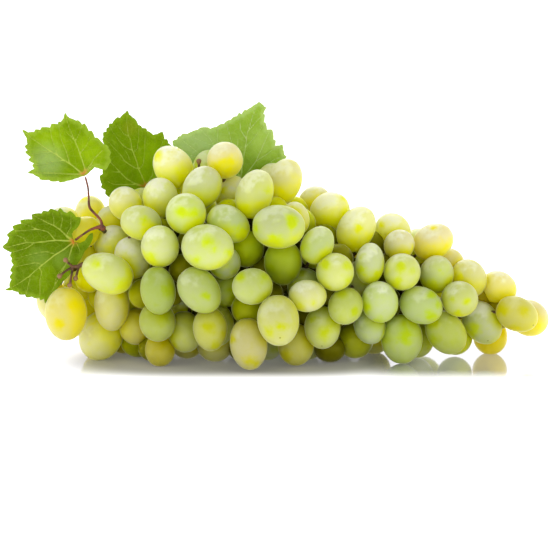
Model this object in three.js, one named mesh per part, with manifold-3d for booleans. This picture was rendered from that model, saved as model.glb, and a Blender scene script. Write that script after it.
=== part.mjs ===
import * as THREE from 'three';
import { mergeVertices } from 'three/addons/utils/BufferGeometryUtils.js';
import Module from 'manifold-3d';

// A bunch of oval white table grapes lying on a level surface, with its shoot and four leaves.
// Millimetres, +Z up, +X from the stalk end to the tip of the bunch, front towards -Y.
// Places are given on a front elevation, across and up, seen from a distance and a little above level.

const VIEW_DISTANCE = 900; // eye to the middle of the bunch
const VIEW_ABOVE = THREE.MathUtils.degToRad(7); // how far above level the eye looks from
const VIEW_HEIGHT = 41.5; // height of the point looked at
const SHIFT_ACROSS = -1.8; // puts the origin under the middle of the whole part
const SHIFT_BACK = 5.6;

const ROUND = 7; // sides of a berry
const RINGS = 4; // rings of a berry from pole to pole
const SWELL = 1.04; // corners stand this far outside the true oval, so that the flats average out
const PLUMP = 1.2; // length of a berry over its width
const PRESS = 0.7; // how far two berries may press into each other
const PRESS_DEEP = 2; // and how far those deeper in may
const REST = 0.45; // how far a lowest berry flattens on the surface
const STEP = 0.5; // step of a berry as it slides back to its place

const PEDICEL = 0.9; // radius of a berry's own stalk
const PEDICEL_SIDES = 3;
const SUNK = 2.5; // how far a stalk is rooted in its berry
const ROOTED = 1.2; // how deep in the core a berry sits that needs no stalk to hold it
const RACHIS_SIDES = 6;
const GAP = 0.35; // clear space between separate pieces
const BLADE = 0.7; // thickness of a leaf

// Overall height of the bunch and depth of its front to the berries' centres, by place along it.
const HEIGHTS = [[-118, 60], [-105, 72], [-92, 78], [-75, 84], [-57, 92], [-50, 104], [-25, 107], [5, 98], [20, 86],
  [43, 76], [59, 71], [80, 66], [97, 50], [111, 43], [126, 31], [138, 18]];
const DEPTHS = [[-118, 14], [-105, 22], [-85, 29], [-60, 39], [-40, 45], [-13, 48], [15, 44], [40, 35], [63, 27],
  [85, 22], [105, 17], [125, 9], [138, 4]];
const BACK_SHARE = 0.86; // depth of the back over that of the front
const CENTRES_IN = 10; // how far inside the outline the berries' centres lie

// Height on the elevation below which nothing of the bunch shows, by place along it.
const LOWS = [[-125, 45], [-118, 22], [-108, 12], [-100, 2], [-96, -3], [95, -3], [112, 0], [120, 8], [140, 12]];

// The core that the berries stand out of: places along it, how far inside the berries' centres it lies, its sides.
const CORE_PLACES = [-107, -96, -80, -62, -45, -25, -5, 18, 42, 66, 88, 106, 117];
const CORE_INSIDE = 8;
const CORE_LEAST = 2.4;
const CORE_SIDES = 9;

// The berries of the front, nearest first: across, up, width, length, lean of the long side, start depth.
const BERRIES = [
  [-83.7, 42.4, 20.4, 26.8, 112], [-104.5, 22.1, 21.4, 27, 0], [-81.6, 26.6, 17.8, 26.4, 0],
  [-33.6, 55.3, 23.4, 26.7, 95], [1.8, 65.6, 22, 26.8, 92], [-57.5, 55.9, 19.4, 21.6, 0],
  [-37.8, 33.8, 20, 25.6, -38], [-58.5, 33.8, 17.6, 24.4, -6], [-11.2, 35.8, 18.5, 20.5, 95],
  [1.6, 18.8, 21.4, 25.8, -6, -52], [-13.2, 7, 19, 26.4, -6, -48], [16.4, 31, 16.4, 19.2, 92],
  [30, 43, 19.2, 19.4, 0], [63.5, 43.1, 18.8, 18.7, 0], [92.3, 29.5, 18, 18.3, 90],
  [121, 21.9, 17.6, 22, 115], [52.4, 28, 18.6, 21.4, -10], [73, 26.3, 18.6, 22, 112],
  [35.3, 26, 17.4, 18.6, 30], [23.7, 15.2, 18.4, 21, 0], [63.4, 9.6, 21, 25, 0, -25],
  [85.4, 12.8, 19, 24, -38], [103.3, 18, 18.5, 24, -35], [96.8, 39.8, 18, 20.5, -25],
  [80.8, 42, 17.6, 19.6, 0], [47.4, 47.2, 14.8, 21, 3], [40.6, 64.4, 18.6, 24.4, 28],
  [27.2, 73.2, 19.2, 21, 50], [62, 56.4, 15.2, 16.2, 30], [-23.3, 67, 18, 23, 122],
  [-44.5, 72, 20.6, 21.2, 0], [-67, 67.6, 17.5, 21, 105], [-71.2, 50.2, 18, 21.5, -25],
  [-81.5, 57, 18, 19.5, 30], [-36.5, 85, 19, 23, 30], [-57.4, 80, 18, 20.6, 0],
  [-74.6, 77, 16.8, 18, -30], [-51, 95.5, 19.5, 23, -35], [-10.3, 81.9, 18.5, 25.5, 20],
  [4.6, 88, 17.5, 24, 18], [-25, 98.8, 18.2, 18.8, 0], [-21.5, 81.5, 18, 20, 0],
  [-32.4, 14.4, 17.6, 22, -4], [-58.8, 18.2, 18.4, 19.8, -15], [-45.2, 13.2, 17.6, 20.6, -10],
  [-25.3, 47.6, 16.4, 17.4, 0], [21.2, 56.4, 16.4, 20, 30], [4, 47.6, 19.4, 23, 0],
  [-14.3, 54.6, 18, 19, 0], [-24.4, 34.4, 16, 17.6, 0], [-13.4, 24.8, 17, 16, 0],
  [14.6, 36.4, 17.6, 18, 0], [19.6, 53.4, 15, 17.6, 0], [10.4, 69.8, 13.6, 17, -15],
  [19.8, 77.4, 16.6, 18, 30], [59.2, 63.4, 17.4, 19.6, -45], [78.9, 58, 17.8, 21.6, 60],
  [86.8, 46.6, 16, 17, 0], [42.4, 40, 17, 18, 0], [47.4, 15.6, 16, 17.4, -20],
  [40, 9, 18.6, 18, 0], [31, 7.6, 18, 18, 0], [10.4, 6.8, 18.4, 20.8, 0, -29],
  [-28.6, 16.6, 16.4, 21.5, 0], [-30, 6.4, 19, 19, 0, -24], [-47.2, 27, 13.6, 17.6, 8],
  [-57.4, 4.4, 15.4, 17, 0, -33], [-44, 6, 17, 17, 0], [-87, 11.2, 22, 25, 20, -10],
  [-74.5, 9.8, 19.5, 21, 90, -6], [-69.5, 16, 17, 18, 0], [-71.5, 33, 19, 20, 0],
  [-66, 76.5, 17, 18, 0], [-81.4, 68.6, 16, 16, 0, -14], [-95.2, 63, 15.4, 17, 60, -12],
  [-94.5, 50.4, 14, 16, 0, -10], [-97.4, 37.4, 17, 18, 0, -8], [-91.6, 23.6, 16, 20, 0],
  [-111, 28.4, 16.4, 20, -8, -3], [-92.3, 71.6, 15.8, 19.4, 0, -8], [-105.6, 68.4, 15, 16, 90, -2],
  [70.5, 9, 18, 18, 0], [90, 10.6, 18, 18.4, 0], [107.5, 11, 17.6, 19, 0, 4],
  [111.6, 34.8, 17.6, 19.6, -50], [126.6, 20.2, 18.4, 20, 110],
];

const FRONT_ONES = 42; // the first of them stand outermost, and the rest deeper

// The bunch's own stalk and the rachis through its middle: x, y, z, radius.
const PEDUNCLE = [[-83.7, -21.2, 66.8, 1.4], [-83, -13, 62, 1.8], [-76, -3, 52, 2.3]];
const RACHIS = [[-76, -3, 52, 2.3], [-58, 0, 48, 2.2], [-35, 0, 48, 2.1], [-5, 0, 45, 2],
  [30, 0, 37, 1.8], [65, 0, 27, 1.5], [95, 1, 20, 1.2], [117, 2, 17, 1]];
// A pedicel on top that has lost its berry: across, up, depth, radius.
const BARE_PEDICEL = [[-38.1, 98.4, -7, 0.75], [-38, 93, -6.5, 0.6], [-38, 84, -5, 0.8], [-38, 74, -3, 1]];

// The joint and the two leaf stalks in front: across, up, depth, radius.
const JOINT = [-86, 65, -24, 1.8];
const STALK_UPPER = [[-86.4, 65.6, -24, 1], [-87.1, 68.8, -24, 0.8], [-92.6, 75.2, -21, 0.9], [-93.1, 79.8, -19, 0.6],
  [-93.5, 85, -16, 0.55], [-94.8, 90.4, -12.6, 0.55]];
const STALK_LOWER = [[-87, 65.8, -24, 1.2], [-92.1, 64.2, -23.5, 0.85], [-96.5, 61.4, -21.5, 0.75],
  [-99.7, 59.1, -18.6, 0.75]];
// The bare twig: a main branch and its knob-ended pedicels.
const TWIG = [[-95.8, 47.1, -20.8, 1.1], [-98, 46, -20.4, 1], [-101.6, 45.5, -20.2, 0.8]];
const TWIG_ENDS = [
  [[-101, 45.6, -20.2, 0.7], [-103, 47.2, -21, 0.6], [-104.7, 49, -22, 0.7]],
  [[-101, 45.4, -20.2, 0.8], [-104.5, 43.6, -21.5, 0.6], [-107.7, 40.9, -23, 0.7]],
  [[-101, 45.6, -20.2, 0.7], [-101.7, 41.5, -22, 0.6], [-102.6, 36.4, -24.5, 0.7]],
  [[-97.8, 46.2, -20.4, 0.6], [-98.7, 43.4, -20.8, 0.55], [-99.7, 39.8, -21.4, 0.7]],
];
const KNOB = 1.35;

// The leaves: the edge on the elevation, and how the blade stands and curves in depth about its middle.
const LEAVES = {
  leaf_upper_left: {
    colour: 0x93b52a, middle: [-104, 104], depth: -9, across: -0.05, up: 0.16, cup: -2.5, reach: 22, ripple: 0.9,
    edge: [[-94.9, 91.2], [-97, 90.7], [-99.9, 89.7], [-103.6, 88.6], [-107.8, 87.8], [-108.3, 88.5], [-112.4, 88.4],
      [-112.9, 89], [-117.5, 89.2], [-117.9, 90.3], [-121.2, 92.1], [-123.7, 92.6], [-120.3, 94.7], [-121.4, 96.3],
      [-120.6, 97.3], [-123.4, 99], [-122.1, 100.4], [-125, 103], [-123.7, 103.9], [-125.2, 105.8], [-123.8, 107],
      [-124.2, 110], [-126.4, 114.3], [-123.6, 112.8], [-120.4, 113], [-119.9, 114.3], [-117.3, 114.1],
      [-116.8, 115.4], [-112.4, 115.2], [-111.8, 117.1], [-108.5, 116.9], [-108.3, 118.2], [-107.1, 118],
      [-105.7, 119.8], [-105, 122.6], [-104, 121], [-102.7, 120], [-99.4, 118.7], [-98.4, 118.9], [-96.4, 116.7],
      [-95.1, 117.3], [-93.1, 113.4], [-91.7, 113.8], [-90, 110.1], [-88.9, 110.3], [-86.9, 108.2], [-85.8, 107],
      [-83.6, 105.9], [-83.4, 104.6], [-82.1, 103], [-82.9, 100.7], [-81.9, 98.5], [-83, 97], [-84.7, 94.1],
      [-88.5, 94.9], [-90.2, 95.4], [-92.2, 93.6]],
  },
  leaf_lower_left: {
    colour: 0x5f8a10, middle: [-114, 54], depth: -17, across: -0.1, up: -0.02, cup: 3, reach: 24, ripple: 0.8,
    edge: [[-100.4, 58], [-101.2, 60.3], [-101.6, 62.1], [-100.8, 63.6], [-99, 65], [-97.7, 66.9], [-97.2, 70.2],
      [-99.4, 70.5], [-102.3, 73.5], [-104, 72.4], [-105.6, 73.1], [-107.4, 75], [-108.7, 73.3], [-112.2, 74.7],
      [-113.5, 73.3], [-115.9, 73.6], [-116.6, 72.4], [-121.7, 71.8], [-121.4, 69.4], [-127.3, 68.9],
      [-126.9, 67.2], [-131.2, 66], [-130.6, 64.3], [-134.1, 61.6], [-132.9, 60.1], [-133.9, 57.7], [-136.4, 55.5],
      [-134.4, 54], [-131.8, 52.8], [-132.4, 51.1], [-131.5, 50], [-131.8, 48.5], [-130.7, 46.7], [-132.4, 43.8],
      [-131.3, 42.7], [-132.8, 40.5], [-131.8, 39.2], [-132.7, 37.5], [-132.6, 35.2], [-135, 34.1], [-131.3, 33.9],
      [-128.3, 33], [-128, 31.8], [-125, 31.7], [-124.3, 30.3], [-121.4, 30.7], [-119.9, 29.8], [-117.7, 30.2],
      [-117.3, 28.9], [-115.5, 29.7], [-114.8, 27.3], [-113.7, 29.5], [-111.6, 32.2], [-108.2, 35.6],
      [-106.3, 38.3], [-103.4, 40.7], [-100.8, 44.9], [-98.3, 47.8], [-95.3, 53.3], [-92.6, 56.6], [-91.2, 59.6],
      [-91.2, 62.6], [-92.6, 62], [-95, 58.6], [-97.4, 57.4]],
  },
  leaf_upper_middle: {
    colour: 0x6a9410, middle: [-70, 102], depth: 17, across: 0.02, up: -0.06, cup: 2, reach: 22, ripple: 1,
    edge: [[-73.9, 123.8], [-74.9, 122.6], [-76.5, 121.4], [-77.5, 120], [-78.9, 120.4], [-80.9, 118.2],
      [-81.3, 117.2], [-82.9, 117.2], [-83.1, 115.4], [-84.3, 114.8], [-84.3, 113.2], [-85.9, 112.8], [-85.7, 110.6],
      [-86.3, 109.4], [-84.8, 106], [-85.6, 102], [-84.6, 98.6], [-86, 95.4], [-86.1, 92], [-87.7, 91],
      [-87.3, 88.6], [-86.5, 86.6], [-87.1, 85.4], [-84.7, 84], [-84.9, 82.2], [-82.6, 80.2], [-80, 80.6],
      [-76, 82], [-72, 82.6], [-68.5, 83], [-65.6, 84.6], [-62.6, 84.4], [-59, 85.4], [-56.5, 88], [-55, 92],
      [-53, 96], [-52.4, 100.4], [-53, 104], [-51.7, 106], [-53.4, 107.4], [-53.9, 109.4], [-55.3, 109.4],
      [-56.3, 113.2], [-58.9, 112], [-60.9, 111.6], [-62.3, 112.8], [-63.9, 113.6], [-64.5, 114.8], [-66.3, 115],
      [-67.3, 116.2], [-68.5, 116.6], [-68.9, 117.8], [-69.7, 119.2], [-71.3, 120.4], [-72.9, 121.8]],
  },
  leaf_upper_right: {
    colour: 0x9dbd4e, middle: [-22, 106], depth: 17.5, across: -0.05, up: -0.04, cup: 2, reach: 24, ripple: 1,
    edge: [[-8, 128.1], [-9.1, 127.2], [-11.8, 125.4], [-14.3, 123.8], [-15, 124.2], [-16.7, 121.8], [-17.9, 122.7],
      [-19, 120.9], [-20.8, 120.5], [-22.1, 119.1], [-23.9, 118.7], [-25.5, 117.1], [-27.3, 116.9], [-29.1, 115.7],
      [-32.5, 114.6], [-33.4, 115.3], [-37, 115.3], [-38.6, 114.2], [-41.5, 113.3], [-43.7, 112.1], [-46.4, 112.1],
      [-47.1, 111], [-48.5, 110.6], [-48.9, 109.4], [-51.2, 108.5], [-50.4, 105], [-48, 101], [-44, 98], [-41, 94.6],
      [-36, 93], [-31, 90.4], [-25, 88.6], [-20.4, 87], [-17.6, 88.4], [-14, 86.6], [-9, 88], [-5, 91.6], [0, 93.6],
      [3.4, 97], [5.9, 100.7], [4.6, 101.6], [4, 104.3], [3.7, 106.7], [2.2, 106.3], [0, 106.1], [0.3, 108.8],
      [-0.8, 109.2], [-1.4, 114.2], [-4.1, 114.2], [-4.6, 117.3], [-5.6, 118], [-5.3, 120], [-5.1, 121.8],
      [-5.9, 122], [-5.3, 123.6], [-4.2, 125.5], [-5, 125.4]],
  },
};
const LEAF_GRID = 11; // spacing of the lines that a blade bends along
// Stalks of the two leaves tucked in behind: across, up, depth, radius.
const BACK_STALKS = {
  stalk_upper_middle: [[-65.4, 84.4, 21.2, 0.8], [-65, 81.6, 22.2, 0.8], [-64.2, 79, 22.8, 0.9], [-63, 76.5, 23, 1]],
  stalk_upper_right: [[-17.6, 88.2, 21, 0.8], [-17.6, 86, 22, 0.8], [-18, 83.5, 22.6, 0.9], [-19, 81, 22.6, 1]],
};
const BARK = 0x5a2c14;

const wasm = await Module();
wasm.setup();
const { Manifold, Mesh } = wasm;

/** Value of a profile of [place, value] pairs at a place. */
function profile(table, place) {
  if (place <= table[0][0]) return table[0][1];
  for (let i = 1; i < table.length; i++) {
    if (place <= table[i][0]) {
      const share = (place - table[i - 1][0]) / (table[i][0] - table[i - 1][0]);
      return table[i - 1][1] + share * (table[i][1] - table[i - 1][1]);
    }
  }
  return table[table.length - 1][1];
}

/** The place at a depth that the front elevation shows at across and up, with the scale it is seen at. */
function seen(across, up, depth) {
  const cos = Math.cos(VIEW_ABOVE);
  const sin = Math.sin(VIEW_ABOVE);
  const scale = (depth + VIEW_DISTANCE * cos) / ((up - VIEW_HEIGHT) * sin + VIEW_DISTANCE * cos);
  const z = VIEW_HEIGHT + VIEW_DISTANCE * sin + scale * ((up - VIEW_HEIGHT) * cos - VIEW_DISTANCE * sin);
  return { place: new THREE.Vector3(scale * across, depth, z), scale };
}

/** Height on the front elevation of a place in the bunch. */
function heightSeen(place) {
  const cos = Math.cos(VIEW_ABOVE);
  const sin = Math.sin(VIEW_ABOVE);
  const away = VIEW_DISTANCE + place.y * cos - (place.z - VIEW_HEIGHT) * sin;
  return VIEW_HEIGHT + (VIEW_DISTANCE * (place.y * sin + (place.z - VIEW_HEIGHT) * cos)) / away;
}

/** Seeded random numbers from 0 to 1. */
function randomFrom(seed) {
  let state = seed;
  return () => {
    state = (state * 16807) % 2147483647;
    return state / 2147483647;
  };
}

/** Half width of a berry in a direction, measured square to a touching plane. */
function halfWidth(berry, direction) {
  const along = berry.axis.dot(direction);
  return Math.sqrt(berry.half ** 2 * along * along + berry.radius ** 2 * (1 - along * along));
}

/** Whether two berries stand clear of each other, but for a little pressing. */
function clear(one, other, press = PRESS) {
  const between = other.place.clone().sub(one.place);
  const distance = between.length();
  between.normalize();
  return distance > halfWidth(one, between) + halfWidth(other, between) - press;
}

/** Whether a berry stands clear of those placed and of the stalks and leaves. */
function fits(berry, berries, press = PRESS) {
  return berries.every((other) => clear(berry, other, press)) && kept.every((other) => clear(berry, other));
}

/** The nearest point of the rachis line to a place. */
function rachisNear(place) {
  let best = null;
  for (let i = 1; i < RACHIS.length; i++) {
    const from = new THREE.Vector3(...RACHIS[i - 1].slice(0, 3));
    const to = new THREE.Vector3(...RACHIS[i].slice(0, 3));
    const near = new THREE.Line3(from, to).closestPointToPoint(place, true, new THREE.Vector3());
    if (!best || near.distanceTo(place) < best.distanceTo(place)) best = near;
  }
  return best;
}

/** A berry seen on the front elevation, at a depth. */
function berryAt([across, up, width, length, lean], depth) {
  const { place, scale } = seen(across, up, depth);
  const radius = (width / 2) * scale;
  const longSeen = (length / 2) * scale;
  const half = Math.max(longSeen, PLUMP * radius);
  const flat = half > radius ? Math.sqrt(Math.max(0, (longSeen ** 2 - radius ** 2) / (half ** 2 - radius ** 2))) : 0;
  const tilt = THREE.MathUtils.degToRad(lean);
  const side = Math.sqrt(Math.max(0, 1 - flat * flat));
  const axis = new THREE.Vector3(Math.sin(tilt) * flat, -side, Math.cos(tilt) * flat);
  const outwards = place.clone().sub(rachisNear(place));
  if (axis.x * outwards.x + axis.z * outwards.z < 0) axis.set(-axis.x, axis.y, -axis.z);
  const berry = { place, radius, half, axis: axis.normalize() };
  const lowest = halfWidth(berry, new THREE.Vector3(0, 0, 1)) - REST;
  if (place.z < lowest) place.z = lowest;
  return berry;
}

/** Depth of the front of the bunch, to the berries' centres, at a place on the elevation. */
function frontDepth(across, up) {
  const depth = profile(DEPTHS, across);
  const middle = profile(HEIGHTS, across) / 2;
  const above = Math.max(0, up + depth * Math.sin(VIEW_ABOVE) - middle) / (middle - 6);
  return -depth * Math.sqrt(Math.max(0.03, 1 - above * above));
}

/** Points along a stalk given by across, up, depth and radius, as obstacles for the berries. */
function obstacles(stalk, extra) {
  const list = [];
  for (let i = 1; i < stalk.length; i++) {
    for (let share = 0; share <= 1; share += 0.25) {
      const mix = stalk[i - 1].map((value, k) => value + share * (stalk[i][k] - value));
      const radius = mix[3] + extra;
      list.push({ place: seen(mix[0], mix[1], mix[2]).place, radius, half: radius, axis: new THREE.Vector3(0, 0, 1) });
    }
  }
  return list;
}

/** Depth of a leaf at a place on the elevation. */
function leafDepth(leaf, across, up) {
  const dx = across - leaf.middle[0];
  const dz = up - leaf.middle[1];
  const share = (dx * dx + dz * dz) / (leaf.reach * leaf.reach);
  const waves = leaf.ripple * Math.sin(5 * Math.atan2(dz, dx)) * share;
  return leaf.depth + leaf.across * dx + leaf.up * dz + leaf.cup * share + waves;
}

/** Small balls over a leaf, as obstacles for the berries behind and in front of it. */
function leafObstacles(leaf) {
  const list = [];
  for (const share of [0.25, 0.5, 0.75, 1]) {
    for (const [across, up] of leaf.edge) {
      const x = leaf.middle[0] + share * (across - leaf.middle[0]);
      const z = leaf.middle[1] + share * (up - leaf.middle[1]);
      const radius = BLADE / 2 + GAP + PRESS + 0.3;
      list.push({ place: seen(x, z, leafDepth(leaf, x, z)).place, radius, half: radius, axis: new THREE.Vector3(0, 0, 1) });
    }
  }
  return list;
}

const kept = [];
for (const stalk of [[JOINT, STALK_UPPER[1]], STALK_UPPER, STALK_LOWER, TWIG, ...TWIG_ENDS,
  ...Object.values(BACK_STALKS)]) kept.push(...obstacles(stalk, GAP + PRESS + 0.3));
for (const leaf of Object.values(LEAVES)) kept.push(...leafObstacles(leaf));

/** The front berries, each slid back along the line of sight until it is clear of the nearer ones. */
function frontBerries() {
  const berries = [];
  BERRIES.forEach((entry, i) => {
    const press = i < FRONT_ONES ? PRESS : PRESS_DEEP;
    let depth = entry[5] ?? frontDepth(entry[0], entry[1]);
    let berry = berryAt(entry, depth);
    while (depth < 70 && !fits(berry, berries, press)) {
      depth += STEP;
      berry = berryAt(entry, depth);
    }
    berries.push(berry);
  });
  return berries;
}

const SEED = 20;
const PASSES = [1, 0.94, 0.87, 0.8]; // shares of the way out at which the berries are set
const PRESS_BACK = 1.8;
const ROW_STEP = 2;
const TURN_STEP = 5;
const LOW_START = -0.5; // how far down the turn counts as the underside
const UNDER = 4; // the underside is fuller than the outline's oval by this much

const random = randomFrom(SEED);

/** The berries of the back, the top behind and the underside, at a share of the way out, where there is room. */
function addBack(berries, share) {
  for (let x = -112; x <= 128; x += ROW_STEP) {
    const height = profile(HEIGHTS, x);
    const depth = profile(DEPTHS, x) * share;
    const turnStart = random() * TURN_STEP;
    for (let turn = -100 + turnStart; turn < 150; turn += TURN_STEP) {
      const radius = 8.9 + 1.3 * random();
      const half = radius * (1.14 + 0.12 * random());
      const across = x + 3 * (random() - 0.5);
      const lean = 0.9 * (random() - 0.5);
      const angle = THREE.MathUtils.degToRad(turn);
      const way = new THREE.Vector3(0, Math.cos(angle), Math.sin(angle));
      const reachZ = (height / 2 - CENTRES_IN) * share;
      const place = new THREE.Vector3(across, way.y * depth * BACK_SHARE, height / 2 + way.z * reachZ);
      const axis = new THREE.Vector3(lean, way.y, way.z).normalize();
      const berry = { place, radius, half, axis };
      const low = halfWidth(berry, new THREE.Vector3(0, 0, 1));
      if (way.z < LOW_START) place.z -= UNDER;
      place.z = Math.max(place.z, low - REST);
      place.z -= Math.max(0, heightSeen(place) + low - height + 2);
      if (place.z < low - REST || heightSeen(place) - low < profile(LOWS, across)) continue;
      if (place.y < -4 && way.z > -0.3) continue;
      if (fits(berry, berries, PRESS_BACK)) berries.push(berry);
    }
  }
}

/** A closed three.js geometry as a manifold solid. */
function solid(geometry) {
  geometry.deleteAttribute('normal');
  geometry.deleteAttribute('uv');
  const welded = mergeVertices(geometry, 1e-5);
  return new Manifold(new Mesh({
    numProp: 3,
    vertProperties: new Float32Array(welded.attributes.position.array),
    triVerts: new Uint32Array(welded.index.array),
  }));
}

/** All solids of a list joined into one, pair by pair. */
function joined(solids) {
  let row = solids;
  while (row.length > 1) {
    const next = [];
    for (let i = 0; i < row.length; i += 2) next.push(i + 1 < row.length ? row[i].add(row[i + 1]) : row[i]);
    row = next;
  }
  return row[0];
}

/** The largest shell of a solid, with no hollow sealed inside it and no loose scrap. */
function outerShell(body) {
  return body.decompose().reduce((best, shell) => (shell.volume() > best.volume() ? shell : best));
}

/** An oval berry as a geometry, its long side along its axis. */
function berryGeometry(berry, round = ROUND, rings = RINGS) {
  const geometry = new THREE.SphereGeometry(1, round, rings);
  const turn = new THREE.Quaternion().setFromUnitVectors(new THREE.Vector3(0, 1, 0), berry.axis);
  const size = new THREE.Vector3(berry.radius * SWELL, berry.half, berry.radius * SWELL);
  return geometry.applyMatrix4(new THREE.Matrix4().compose(berry.place, turn, size));
}

/** A straight tapered stalk between two points. */
function stalkGeometry(from, to, radiusFrom, radiusTo, sides) {
  const way = to.clone().sub(from);
  const geometry = new THREE.CylinderGeometry(radiusTo, radiusFrom, way.length(), sides);
  const turn = new THREE.Quaternion().setFromUnitVectors(new THREE.Vector3(0, 1, 0), way.normalize());
  const middle = from.clone().add(to).multiplyScalar(0.5);
  return geometry.applyMatrix4(new THREE.Matrix4().compose(middle, turn, new THREE.Vector3(1, 1, 1)));
}

/** Rings of corners joined into one closed solid. */
function ringsGeometry(positions, rings, sides) {
  const index = [];
  for (let i = 0; i + 1 < rings; i++) {
    for (let k = 0; k < sides; k++) {
      const a = i * sides + k;
      const b = i * sides + ((k + 1) % sides);
      index.push(a, b, b + sides, a, b + sides, a + sides);
    }
  }
  const last = (rings - 1) * sides;
  for (let k = 1; k + 1 < sides; k++) index.push(0, k + 1, k, last, last + k, last + k + 1);
  const geometry = new THREE.BufferGeometry();
  geometry.setAttribute('position', new THREE.Float32BufferAttribute(positions, 3));
  geometry.setIndex(index);
  return geometry;
}

/** A bent stalk through points with radii, as one closed tube. */
function tubeGeometry(points, radii, sides) {
  const positions = [];
  const ahead = new THREE.Vector3();
  let side = null;
  points.forEach((point, i) => {
    ahead.copy(points[Math.min(i + 1, points.length - 1)]).sub(points[Math.max(i - 1, 0)]).normalize();
    if (!side) side = new THREE.Vector3().crossVectors(ahead, new THREE.Vector3(0.3, 1, 0.2)).normalize();
    side.addScaledVector(ahead, -side.dot(ahead)).normalize();
    const up = new THREE.Vector3().crossVectors(ahead, side);
    for (let k = 0; k < sides; k++) {
      const angle = (2 * Math.PI * k) / sides;
      const corner = point.clone().addScaledVector(side, radii[i] * Math.cos(angle)).addScaledVector(up, radii[i] * Math.sin(angle));
      positions.push(corner.x, corner.y, corner.z);
    }
  });
  return ringsGeometry(positions, points.length, sides);
}

/** A tube along a smooth line through rows of across, up, depth and radius. */
function seenTube(rows, sides, steps) {
  const curve = new THREE.CatmullRomCurve3(rows.map(([a, b, c]) => seen(a, b, c).place), false, 'centripetal');
  const points = [];
  const radii = [];
  for (let i = 0; i <= steps; i++) {
    const share = (i / steps) * (rows.length - 1);
    const k = Math.min(Math.floor(share), rows.length - 2);
    points.push(curve.getPoint(i / steps));
    radii.push(rows[k][3] + (share - k) * (rows[k + 1][3] - rows[k][3]));
  }
  return tubeGeometry(points, radii, sides);
}

/** A round knob. */
function knob(place, radius) {
  const geometry = new THREE.SphereGeometry(radius, 7, 5);
  return geometry.translate(place.x, place.y, place.z);
}

const berries = frontBerries();
for (const share of PASSES) addBack(berries, share);

/** Middle and half sizes of the core across its length, at a place along it. */
function coreAt(x) {
  const depth = profile(DEPTHS, x);
  const front = Math.max(CORE_LEAST, depth - CORE_INSIDE);
  const back = Math.max(CORE_LEAST, depth * BACK_SHARE - CORE_INSIDE);
  const middle = profile(HEIGHTS, x) / 2;
  return { y: (back - front) / 2, z: middle, wide: (back + front) / 2,
    high: Math.max(CORE_LEAST, middle - CENTRES_IN - CORE_INSIDE) };
}

/** How far inside the core a place is, roughly, in mm. */
function insideCore(place) {
  if (place.x < CORE_PLACES[0] || place.x > CORE_PLACES[CORE_PLACES.length - 1]) return -1;
  const core = coreAt(place.x);
  const share = Math.hypot((place.y - core.y) / core.wide, (place.z - core.z) / core.high);
  return (1 - share) * Math.min(core.wide, core.high);
}

/** The core as one closed solid. */
function coreGeometry() {
  const positions = [];
  for (const x of CORE_PLACES) {
    const core = coreAt(x);
    for (let k = 0; k < CORE_SIDES; k++) {
      const angle = (2 * Math.PI * k) / CORE_SIDES;
      positions.push(x, core.y + core.wide * Math.cos(angle), core.z + core.high * Math.sin(angle));
    }
  }
  return ringsGeometry(positions, CORE_PLACES.length, CORE_SIDES);
}

/** The whole bunch as one solid: the core, the rachis, and the berries rooted in them. */
function bunchSolid() {
  const parts = [solid(coreGeometry())];
  for (const stem of [PEDUNCLE, RACHIS]) {
    const points = stem.map(([x, y, z]) => new THREE.Vector3(x, y, z));
    parts.push(solid(tubeGeometry(points, stem.map((row) => row[3]), RACHIS_SIDES)));
  }
  parts.push(solid(seenTube(BARE_PEDICEL, 5, 6)), solid(knob(seen(...BARE_PEDICEL[0]).place, KNOB)));
  for (const berry of berries) {
    parts.push(solid(berryGeometry(berry)));
    const pole = berry.place.clone().addScaledVector(berry.axis, -berry.half);
    if (insideCore(pole) > ROOTED || insideCore(berry.place) > ROOTED) continue;
    const root = rachisNear(pole);
    const target = pole.clone();
    while (insideCore(target) < SUNK && target.distanceTo(root) > 1) target.lerp(root, 0.1);
    const start = berry.place.clone().addScaledVector(berry.axis, SUNK - berry.half);
    parts.push(solid(stalkGeometry(target, start, PEDICEL, PEDICEL, PEDICEL_SIDES)));
  }
  return outerShell(joined(parts).trimByPlane([0, 0, 1], 0));
}

/** A flat outline cut into triangles that share their corners along a square grid. */
function griddedTriangles(edge, spacing) {
  const points = edge.map(([x, z]) => new THREE.Vector2(x, z));
  if (THREE.ShapeUtils.isClockWise(points)) points.reverse();
  let triangles = THREE.ShapeUtils.triangulateShape(points, []).map((face) => face.map((i) => [points[i].x, points[i].y]));
  for (const axis of [0, 1]) {
    const values = edge.map((point) => point[axis]);
    const first = Math.ceil(Math.min(...values) / spacing) * spacing;
    for (let at = first + 0.013; at < Math.max(...values); at += spacing) triangles = cutTriangles(triangles, axis, at);
  }
  return triangles;
}

/** Triangles split along one line across the grid. */
function cutTriangles(triangles, axis, at) {
  const out = [];
  for (const triangle of triangles) {
    const low = [];
    const high = [];
    for (let i = 0; i < 3; i++) {
      const here = triangle[i];
      const next = triangle[(i + 1) % 3];
      (here[axis] < at ? low : high).push(here);
      if (here[axis] < at !== next[axis] < at) {
        const [a, b] = here[axis] < next[axis] ? [here, next] : [next, here];
        const share = (at - a[axis]) / (b[axis] - a[axis]);
        const cut = [a[0] + share * (b[0] - a[0]), a[1] + share * (b[1] - a[1])];
        cut[axis] = at;
        low.push(cut);
        high.push(cut);
      }
    }
    for (const piece of [low, high]) {
      for (let i = 1; i + 1 < piece.length; i++) out.push([piece[0], piece[i], piece[i + 1]]);
    }
  }
  return out;
}

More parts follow.
